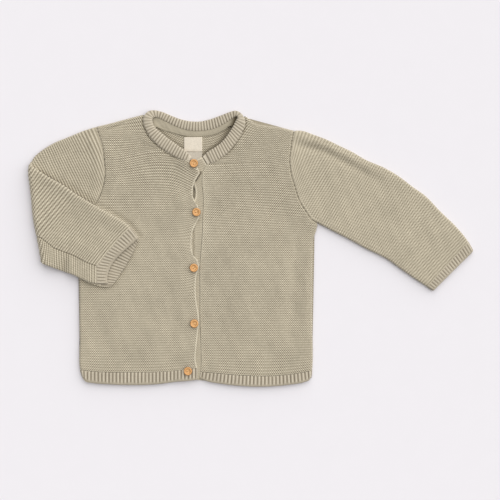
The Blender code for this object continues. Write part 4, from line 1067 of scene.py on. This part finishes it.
def make_hems(material):
    """The ribbed hems: one under each front and one under the back."""
    bottom = smooth_line(HEM_BOTTOM_LEFT)
    top = smooth_line(HEM_TOP_LEFT)
    side = tucked(EDGES_LEFT[1], bottom[0], (-200, -141.3))
    opening = np.array([bottom[-1], (-62, -145), top[-1]], float)
    width = lengths(bottom)[-1]
    make_hem("hem_front_left_rib", (side, opening), bottom, top, width,
             round(cloth_length(width, 1, 0) / HEM_RIB_LEFT), (1, 0), EDGES_LEFT, overlap_lift,
             material)
    bottom = smooth_line(HEM_BOTTOM_RIGHT)
    opening = part(shifted(SEAM_LINE, -SEAM / 2), bottom[0], (-58, -143.8))
    side = tucked(EDGES_RIGHT[1], bottom[-1], (73.5, -142.3))
    width = lengths(bottom)[-1]
    make_hem("hem_front_right_rib", (opening, side), bottom, smooth_line(HEM_TOP_RIGHT), width,
             round(cloth_length(width, 0, 1) / HEM_RIB_RIGHT), (0, 1), EDGES_RIGHT, underlap_dip,
             material)
    sides = (tucked(EDGES_LEFT[1], (-198, -151), (-200, -141.8)),
             tucked(EDGES_RIGHT[1], (73, -151), (73.5, -141.8)))
    top = np.array([(-200, -141.8), (-60, -141.8), (73.5, -141.8)], float)
    make_hem("hem_back_rib", sides, smooth_line(HEM_BOTTOM_BACK), top, HEM_BACK_WIDTH,
             HEM_BACK_RIBS, (1, 1), EDGES_LEFT + EDGES_RIGHT, None, material)


def neckband_line(first):
    """One edge of the neckband as a dense line, from its column of the table."""
    table = np.array(NECKBAND)
    return smooth_values(np.linspace(0, len(table) - 1, 240), np.arange(len(table)),
                         table[:, first:first + 2])


def make_neckband(material):
    """The ribbed band round the neck, one rounded strip that turns over at the shoulders."""
    table = np.array(NECKBAND)
    numbers = np.arange(len(table))
    along = lengths((table[:, 0:2] + table[:, 2:4]) / 2)
    at = np.linspace(0, along[-1], round(along[-1] / NECKBAND_STEP) + 1)
    key = np.interp(at, along, numbers)
    seam = smooth_values(key, numbers, table[:, 0:2])
    free = smooth_values(key, numbers, table[:, 2:4])
    level = np.interp(key, numbers, table[:, 4]) + 1.7 * (1 - ease(at / 5.0))
    behind = ease((key - 7) / 3) * ease((20 - key) / 3)
    ribs = at / along[-1] * round(along[-1] / NECKBAND_RIB)
    turns = round_turn(NECKBAND_AROUND)
    across = np.sign(np.cos(turns)) * np.abs(np.cos(turns))**0.75
    up = 0.5 + 0.5 * np.sign(np.sin(turns)) * np.abs(np.sin(turns))**0.7
    across = np.where(up < 0.5, across * (0.80 + 0.4 * up), across)
    above = ease((up - 0.15) / 0.45)
    size = (len(at), len(turns))
    from_sewn = 0.3 + 6.0 * (1 - across) + 4 * behind[:, None]
    crest = 0.08 + 0.88 * rib_relief(np.broadcast_to(ribs[:, None], size),
                                     np.broadcast_to(turns * 2.2, size), from_sewn=from_sewn,
                                     seed=23)
    soft = (0.35 * bell(key, 2.2, 21) + 0.5 * bell(key, 1.3, 7.4))[:, None]
    crest = crest * (1 - soft) + 0.62 * soft
    # painted shadow in the neck's inner corner, on the free side of the band at the right shoulder
    crest -= 0.7 * bell(key, 1.4, 8.0)[:, None] * ease(-0.6 - 1.6 * across)
    edge = np.minimum(at, along[-1] - at)
    shows = ease((edge - 1.2) / 2.8)[:, None]
    crest = crest * shows + 0.98 * (1 - shows)
    lower = 0.7 * (1 - crest) * above
    centre = ((seam + free) / 2)[:, None]
    half = ((seam - free) / 2)[:, None]
    plan = centre + half * across[None, :, None] * (1 - lower / 6.5)[..., None]
    thick = NECKBAND_HEIGHT * (0.25 + 0.75 * ease(edge / 8.0))[:, None]
    height = level[:, None] + thick * up - lower * (0.4 + 0.6 * up) + 0.25 * above
    height -= rounding(edge, 1.6, 1.2)[:, None] * above
    height -= np.clip(level - WALL - 0.1, 0, 1.5)[:, None] * ease(-1.4 * across) * (1 - up)
    crest = 0.5 + (crest - 0.5) * (0.4 + 0.6 * above)
    knits = np.dstack([np.broadcast_to((ribs * 2)[:, None], size),
                       np.broadcast_to(turns * 2, size)])
    made("neckband_rib", np.dstack([plan, height]).reshape(-1, 3), tube_faces(*size),
         crest.reshape(-1), knits.reshape(-1, 2), material)


# ---------------------------------------------------------------- sleeves

def fold_frame():
    """A point of the fold's axis and the direction out past the fold."""
    start = np.array(CREASE[0])
    along = np.array(CREASE[1]) - start
    along /= np.linalg.norm(along)
    return start, np.array([along[1], -along[0]])


def unfold(points):
    """Where points of the forearm lie before the sleeve is folded."""
    start, out = fold_frame()
    points = np.array(points, float)
    past_fold = (points - start) @ out
    return points + (math.pi * FOLD_REACH - past_fold - past_fold)[:, None] * out


def fold(points):
    """Turn the part of the sleeve past the crease up and back over the rest."""
    start, out = fold_frame()
    level = points[..., 2]
    past_fold = (points[..., :2] - start) @ out
    radius = FOLD_AXIS - level
    angle = np.clip(past_fold / FOLD_REACH, 0, math.pi)
    beyond = np.maximum(past_fold - math.pi * FOLD_REACH, 0)
    turned = np.where(past_fold > 0, radius * np.sin(angle) - beyond, past_fold)
    level = np.where(past_fold > 0, FOLD_AXIS - radius * np.cos(angle), level)
    flat = points[..., :2] + (turned - past_fold)[..., None] * out
    level -= sag(flat) * ease(angle / math.pi)
    level += soft_folds(flat, LAID_FOLDS) * ease(beyond / 8)
    return np.dstack([flat, level])


def sag(flat):
    """How far the forearm sinks between the upper arm and the body's side."""
    clear = np.minimum(*(left_of(flat, smooth_line(table)) for table in (UNDER_LEFT, SIDE_LEFT)))
    return SAG * ease((clear - SAG_START) / SAG_SPAN)


def tube_columns(width, front_step, back_step):
    """Shares, layer sides and lengths of cloth round a pressed tube, from its lower edge."""
    front, front_cloth = even_steps(width, front_step, 1, 1)
    back, back_cloth = even_steps(width, back_step, 1, 1)
    share = np.concatenate([front, back[-2::-1]]) / width
    side = np.concatenate([np.ones(len(front) - 1), [0], -np.ones(len(back) - 1)])
    cloth = np.concatenate([front_cloth, 2 * back_cloth[-1] - back_cloth[-2::-1]])
    return share, side, cloth


def sleeve_flat(upper_line, lower_line, upper_at, lower_at, share):
    """Flat points of a sleeve's straight rows."""
    return (read(lower_line, lower_at)[:, None] * (1 - share)[:, None]
            + read(upper_line, upper_at)[:, None] * share[:, None])


def bent_rows(share, place):
    """How far each point of a row follows its bend, which is at a place across the row."""
    return np.minimum(share / place, (1 - share) / (1 - place))[..., None]


def sleeve_lines(armhole_table, edges, turn, row):
    """A sleeve's seam at the armhole, its upper and lower lines and its first row."""
    armhole = shifted(smooth_line(armhole_table), turn * SEAM / 2)
    upper = shifted(edges[0], TUCK)[::-turn]
    upper = part(upper, armhole[0], upper[-1])
    armhole[0] = upper[0]
    cap = part(armhole, row[2:4], armhole_table[-1])
    lower = np.vstack([cap, shifted(edges[1], TUCK)[::turn][1:]])
    return armhole, (upper, lower), part(armhole, row[2:4], row[:2])


def sleeve_rows(lines, uppers, lowers, numbers, columns, first_row):
    """Row numbers up a sleeve, its flat points, its ridge and stitch numbers, and row ends."""
    share, _, cloth = columns
    ends = [[fraction_of(line, point) for point in points]
            for line, points in zip(lines, (uppers, lowers))]
    at = np.linspace(0, numbers[-1], int(numbers[-1] * PER_RIDGE) + 1)
    flat = sleeve_flat(*lines, *(smooth_values(at, numbers, end) for end in ends), share)
    fade = (1 - np.linspace(0, 1, len(at)))[:, None, None]**6
    flat += fade * bow_of(first_row, share)
    ridges = over(flat, at[:, None])
    return at, flat, ridges, wandered(ridges, over(flat, cloth / STITCH)), ends


def make_sleeve_right(material):
    """The sleeve that lies straight out, a pressed tube open along its underarm seam."""
    armhole, lines, first_row = sleeve_lines(ARMHOLE_RIGHT, SLEEVE_EDGES_RIGHT, 1, RIGHT_ROWS[0])
    table = np.array(RIGHT_ROWS)
    columns = tube_columns(SLEEVE_WIDTH_RIGHT, STITCH / PER_STITCH, STITCH / 2)
    _, flat, ridges, stitches, _ = sleeve_rows(lines, table[:, :2], table[:, 2:4], table[:, 4],
                                               columns, first_row)
    _, side, cloth = columns
    crest = stitch_relief(ridges, stitches, bumps=0.15, strength=0.52, seed=7)
    shows, dip = near_seam(flat, armhole, 3.0)
    # the + 0.02 is painted light: the sleeve towards the lamp is made a little lighter
    crest = sewn(crest, shows, dip) + 0.02
    dip = dip + 0.25 * bell(cloth - TURN, 0.8, 0.8)
    knitted("sleeve_right_knit", flat, side, SLEEVE_EDGES_RIGHT, crest, material, dip,
            knit=(stitches, ridges))
    return lines


def left_sleeve_edges():
    """Upper and lower edges of the folded sleeve as they run before it is folded."""
    upper = smooth_line(TOP_LEFT[4:] + [tuple(p) for p in unfold(FOREARM_TOP[1:])])
    lower = smooth_line(UNDER_LEFT[:-1] + [tuple(p) for p in unfold(FOREARM_UNDER[1:])])
    return [upper, lower[::-1]]


def left_cuff_rows():
    """Both ends of the folded cuff as they run before the sleeve is folded."""
    return [unfold([row[:2], row[2:]]).reshape(-1) for row in (LEFT_LAST_ROW, CUFF_END_LEFT)]


def arm_direction(start, end):
    """Direction along an arm from one row to the next."""
    direction = np.add(end[:2], end[2:]) - np.add(start[:2], start[2:])
    return direction / np.linalg.norm(direction)


def slide_apart(side, share, amount):
    """How far the folded cuff's layers slide along the arm, in opposite directions."""
    bulge = CUFF_SLIP * (0.7 + 0.9 * share - 1.6 * share**3) * side
    return (amount[:, None] * bulge)[..., None] * arm_direction(*left_cuff_rows())


def make_sleeve_left(material):
    """The sleeve that is folded back: upper arm, fold and forearm in one piece."""
    armhole, lines, first_row = sleeve_lines(ARMHOLE_LEFT, SLEEVE_EDGES_LEFT, -1,
                                             LEFT_ARM_ROWS[0])
    bends = LEFT_TURN_ROWS + LEFT_FOREARM_ROWS
    uppers = [row[:2] for row in LEFT_ARM_ROWS] + list(unfold([row[:2] for row in bends]))
    lowers = [row[2:4] for row in LEFT_ARM_ROWS + LEFT_TURN_ROWS]
    lowers += list(unfold([row[2:4] for row in LEFT_FOREARM_ROWS]))
    numbers = np.array([row[4] for row in LEFT_ARM_ROWS + bends])
    columns = tube_columns(SLEEVE_WIDTH_LEFT, STITCH / 3, STITCH / 3)
    at, flat, ridges, stitches, ends = sleeve_rows(lines, uppers, lowers, numbers, columns,
                                                   first_row)
    share, side, cloth = columns
    hinge = np.zeros((len(numbers), 3))
    hinge[:, 2] = 0.85
    turned = unfold([row[5:7] for row in bends])
    for row, (point, bend) in enumerate(zip(turned, bends), len(LEFT_ARM_ROWS)):
        upper, lower = (read(line, end[row]) for line, end in zip(lines, ends))
        hinge[row, :2] = point - lower - bend[7] * (upper - lower)
        hinge[row, 2] = bend[7]
    hinge = np.stack([np.interp(at, numbers, column) for column in hinge.T], axis=-1)
    flat += hinge[:, None, :2] * bent_rows(share, hinge[:, 2:])
    crest = stitch_relief(ridges, stitches, bumps=0.12, strength=0.74, seed=9)
    shows, dip = near_seam(flat, armhole, 4.0, 1.3)
    crest = sewn(crest, 0.5 + 0.5 * shows, dip)
    # painted shade on the upper arm in a line beside the forearm's upper edge
    beside_forearm = distance_from(flat, smooth_line(FOREARM_TOP))
    crest -= 0.25 * bell(beside_forearm, 2.4) * (side > 0)
    from_seam = cloth - cloth[side < 0][np.abs(share[side < 0] - SEAM_SHARE).argmin()]
    dip = dip + 1.3 * bell(from_seam, 0.75) - 0.3 * bell(from_seam, 1.0, -1.8)
    slide = slide_apart(side, share, ease((at - numbers[-1] + 11) / 11))
    knitted("sleeve_left_knit", flat, side, SLEEVE_EDGES_LEFT, crest, material, dip, slide=slide,
            shape=fold, knit=(stitches, ridges), inner_step=(8, 10))
    return *lines, hinge[-1]


def make_cuff(name, lines, start, end, edges, material, shape=None):
    """A ribbed cuff past a sleeve's last row, ribbed inside as well as out."""
    upper_line, lower_line, *hinge = lines
    out = np.linspace(0, 1, CUFF_ROWS)
    reach = [np.linspace(fraction_of(line, start[k:k + 2]), fraction_of(line, end[k:k + 2]),
                         CUFF_ROWS) for line, k in ((upper_line, 0), (lower_line, 2))]
    width = np.linalg.norm(np.subtract(start[:2], start[2:]))
    count = round(cloth_length(width, 1, 1) / CUFF_RIB)
    step = cloth_length(width, 1, 1) / (count * 7)
    share, side, cloth = tube_columns(width, step, step)
    flat = sleeve_flat(upper_line, lower_line, *reach, share)
    ribs = over(flat, cloth / cloth[-1] * 2 * count)
    rows = over(flat, 5 * out[:, None])
    out = out[:, None]
    from_free = CUFF_LENGTH * (1 - out)
    crest = 0.1 + 0.8 * rib_relief(ribs, rows, from_free, CUFF_LENGTH * out, seed=29)
    inside = 0.08 + 0.85 * rib_relief(ribs + 0.5, rows, from_free + 3.4, seed=31)
    direction = arm_direction(start, end)
    if hinge:
        *offset, place = hinge[0]
        flat += (1 - out)[..., None] * bent_rows(share, place) * offset
        gape = CUFF_GAPE * share * (1 - share)**2 * (side < 0) * out
        slide = slide_apart(side, share, np.ones(CUFF_ROWS)) - gape[..., None] * direction
    else:
        slide = CUFF_REACH * out[..., None] * np.broadcast_to(direction, flat.shape)
    knitted(name, flat, side, edges, crest, material, rounding(from_free, 1.6, 0.9), slide=slide,
            shape=shape, knit=(ribs * 2, rows), inner_step=(2, 1), inside=inside)


# ---------------------------------------------------------------- buttons, tape and labels

def make_button(number, x, y, wood):
    """A turned wooden button with a raised rim and two holes, and the paths of its thread."""
    profile = np.array(BUTTON_PROFILE)
    at = lengths(profile[:, :2])
    dense = np.linspace(0, at[-1], BUTTON_RINGS + 2)
    outline = smooth_values(dense, at, profile[:, :2])
    tone = np.interp(dense, at, profile[:, 2])
    turns = round_turn(BUTTON_AROUND)
    radius = np.maximum(outline[1:-1, :1], 0)
    plan = np.dstack([radius * np.cos(turns), radius * np.sin(turns)])
    height = np.repeat(outline[1:-1, 1:], BUTTON_AROUND, axis=1)
    tones = np.repeat(tone[1:-1, None], BUTTON_AROUND, axis=1)
    upper = (np.arange(BUTTON_RINGS) < BUTTON_TOP_RINGS)[:, None]
    for hole_x in (-BUTTON_HOLE, BUTTON_HOLE):
        away = np.linalg.norm(plan - (hole_x, 0), axis=-1)
        sunk = upper * ease((HOLE_RADIUS - away) / HOLE_EDGE)
        height -= HOLE_DEPTH * sunk
        # painted shade in the holes
        tones *= 1 - 0.8 * sunk
    points = np.vstack([np.dstack([plan, height]).reshape(-1, 3),
                        (0, 0, outline[0, 1]), (0, 0, outline[-1, 1])])
    ring = np.arange(tones.size).reshape(tones.shape)
    ahead = np.roll(ring, -1, axis=1)
    faces = np.stack([ring[:-1], ring[1:], ahead[1:], ahead[:-1]], axis=-1).reshape(-1, 4).tolist()
    faces += [(ring.size, a, b) for a, b in zip(ring[0].tolist(), ahead[0].tolist())]
    faces += [(ring.size + 1, b, a) for a, b in zip(ring[-1].tolist(), ahead[-1].tolist())]
    spin = math.radians(BUTTON_TURNS[number - 1])
    turned = np.array([[math.cos(spin), math.sin(spin)], [-math.sin(spin), math.cos(spin)]])
    points[:, :2] = points[:, :2] @ turned
    points += (x, y, BUTTON_LEVEL)
    made(f"button_{number}_wood", points, faces, np.append(tones, (tone[0], tone[-1])),
         points[:, :2], wood)
    strands = []
    t = np.linspace(-1, 1, THREAD_POINTS)
    for offset in STRANDS:
        path = np.stack([1.02 * BUTTON_HOLE * t, np.full(THREAD_POINTS, offset),
                         1.75 + 0.42 * (1 - t**2) - 1.0 * (np.abs(t) > 0.9)], axis=-1)
        path[:, :2] = path[:, :2] @ turned
        strands.append(path + (x, y, BUTTON_LEVEL))
    return strands


def make_thread(paths, material):
    """The buttons' thread, as closed tubes in one piece."""
    points = []
    faces = []
    turns = round_turn(THREAD_AROUND)[:, None]
    for path in paths:
        along = np.gradient(path, axis=0)
        along /= np.linalg.norm(along, axis=1, keepdims=True)
        across = np.cross(along, (0, 0, 1.0))
        across /= np.maximum(np.linalg.norm(across, axis=1, keepdims=True), 1e-6)
        up = np.cross(across, along)
        radius = np.full(len(path), THREAD_RADIUS)
        radius[[0, -1]] *= 0.35
        rings = path[:, None] + radius[:, None, None] * (np.cos(turns) * across[:, None]
                                                         + np.sin(turns) * up[:, None])
        faces += tube_faces(*rings.shape[:2], start=sum(map(len, points)))
        points.append(rings.reshape(-1, 3))
    points = np.vstack(points)
    made("button_thread", points, faces, np.full(len(points), 0.8), points[:, :2], material,
         replaces=False)


def make_tape(material):
    """The tape over the back neck seam, with a stitched line near its lower edge."""
    upper = part(shifted(BAND_INNER, -0.6), TAPE_LOWER[-1], TAPE_LOWER[0])[::-1]
    along = np.linspace(0, 1, TAPE_COLUMNS)
    up = np.linspace(0, 1, TAPE_ROWS)[:, None]
    flat = (read(smooth_line(TAPE_LOWER), along) * (1 - up)[..., None]
            + read(upper, along) * up[..., None])
    edge = np.minimum(up, 1 - up) * 6
    stitched = bell(edge, 0.3, 1.5) * (up < 0.5)
    wave = 0.14 * np.sin(along * 40) + 0.1 * np.sin(along * 93 + 1)
    level = (WALL + SEAM + 0.6 + wave * ease(edge / 2) - rounding(edge, 0.8, 0.5)
             - 0.3 * stitched)
    # the last term is a painted shadow of the neckband's right part on the tape
    crest = (0.55 + 0.2 * np.clip(edge / 2, 0, 1) - 0.2 * stitched - 0.24 * bell(along * 24, 1.0)
             - 0.75 * bell(distance_from(flat, BAND_INNER[:62]), 5.5))
    plate("neck_tape_woven", flat, level, WALL - RELIEF, crest, flat / 0.8, (6, 6), material)


def make_label(name, corners, line, material):
    """A blank woven label or tab: a four-sided plate, a little wavy, with a stitched line."""
    low_left, low_right, up_right, up_left = np.array(corners, float)
    across = np.linspace(0, 1, LABEL_COLUMNS)
    up = np.linspace(0, 1, LABEL_ROWS)[:, None]
    u = across[None, :, None]
    v = up[..., None]
    flat = ((1 - u) * ((1 - v) * low_left + v * up_left)
            + u * ((1 - v) * low_right + v * up_right))
    width = np.linalg.norm(up_right - up_left)
    edge = np.minimum(np.minimum(across, 1 - across) * width, np.minimum(up, 1 - up) * LABEL_HEIGHT)
    wave = 0.22 * np.sin(across * 5 + 0.5) * np.sin(up * 3 + 0.8)
    stitched = line * bell(up * LABEL_HEIGHT, 0.35, 1.6)
    level = WALL + SEAM + 0.5 + wave - rounding(edge, 0.6, 0.35) - 0.22 * stitched
    crest = 0.75 - 0.12 * np.clip(1 - edge / 0.8, 0, 1) - 0.35 * stitched
    plate(name, flat, level, WALL - RELIEF, crest, flat / 0.5, (7, 9), material)


# ---------------------------------------------------------------- floor, light and camera

def linked(name, data):
    """A new object in the scene."""
    thing = bpy.data.objects.new(name, data)
    bpy.context.scene.collection.objects.link(thing)
    return thing


def make_floor():
    """A plain pale floor."""
    material, tree, shader = new_material("floor")
    colour = ramp(tree, noise(tree, object_place(tree), 40.0, 2.0),
                  [(0.3, (0.80, 0.775, 0.80)), (0.7, (0.805, 0.78, 0.805))])
    tree.links.new(colour, shader.inputs["Base Color"])
    shader.inputs["Roughness"].default_value = 1.0
    shader.inputs["Specular IOR Level"].default_value = 0.0
    mesh = bpy.data.meshes.new("floor")
    corners = [(FLOOR_REACH * x, FLOOR_REACH * y, 0) for x, y in ((-1, -1), (1, -1), (1, 1), (-1, 1))]
    mesh.from_pydata(corners, [], [(0, 1, 2, 3)])
    mesh.materials.append(material)
    linked("floor", mesh)


def make_lights():
    """Even light from the room and a wide soft light from the upper right."""
    world = bpy.data.worlds.new("room")
    world.use_nodes = True
    background = world.node_tree.nodes["Background"]
    background.inputs["Color"].default_value = (1.0, 1.0, 1.0, 1)
    background.inputs["Strength"].default_value = 0.36
    bpy.context.scene.world = world
    light = bpy.data.lights.new("key", "SUN")
    light.energy = 3.63
    light.angle = math.radians(110)
    linked("key", light).rotation_euler = (math.radians(-36), math.radians(38), 0)
    bpy.context.scene.view_settings.view_transform = "Standard"


def make_camera():
    """A camera straight above, framed as the picture."""
    data = bpy.data.cameras.new("camera")
    data.lens = 85
    data.sensor_width = 36
    camera = linked("camera", data)
    camera.location = (OFFSET[0] * MM, OFFSET[1] * MM, CAMERA_HEIGHT)
    bpy.context.scene.camera = camera


# ---------------------------------------------------------------- the garment

low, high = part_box("button_1")
OFFSET = ((low.x + high.x) / 2 / MM - BUTTON_X_Y[0][0],
          (low.y + high.y) / 2 / MM - BUTTON_X_Y[0][1])
OVERLAP = smooth_line(OVERLAP_EDGE)
SEAM_LINE = smooth_line(BAND_SEAM)
BAND_OUTER = neckband_line(0)
BAND_INNER = neckband_line(2)
EDGES_RIGHT = [smooth_line(TOP_RIGHT)[::-1], smooth_line(SIDE_RIGHT)]
EDGES_LEFT = [smooth_line(TOP_LEFT), smooth_line(SIDE_LEFT)[::-1]]
SLEEVE_EDGES_RIGHT = [EDGES_RIGHT[0], smooth_line(UNDER_RIGHT)]
SLEEVE_EDGES_LEFT = left_sleeve_edges()

make_camera()
make_floor()
make_lights()
KNIT, RIB, TAPE, LABEL, SIZE_TAB, THREAD = (yarn_material(*values) for values in YARNS)
WOOD = wood_material()
make_back(KNIT)
make_front_right(KNIT)
make_front_left(KNIT)
make_button_band(KNIT)
make_hems(RIB)
make_neckband(RIB)
make_tape(TAPE)
make_label("label_blank", LABEL_CORNERS, True, LABEL)
make_label("size_tab_blank", TAB_CORNERS, False, SIZE_TAB)
make_cuff("cuff_right_rib", make_sleeve_right(KNIT), RIGHT_ROWS[-1][:4], CUFF_END_RIGHT,
          SLEEVE_EDGES_RIGHT, RIB)
make_cuff("cuff_left_rib", make_sleeve_left(KNIT), *left_cuff_rows(), SLEEVE_EDGES_LEFT, RIB,
          fold)
strands = []
for number, (x, y) in enumerate(BUTTON_X_Y, 1):
    strands += make_button(number, x, y, WOOD)
make_thread(strands, THREAD)
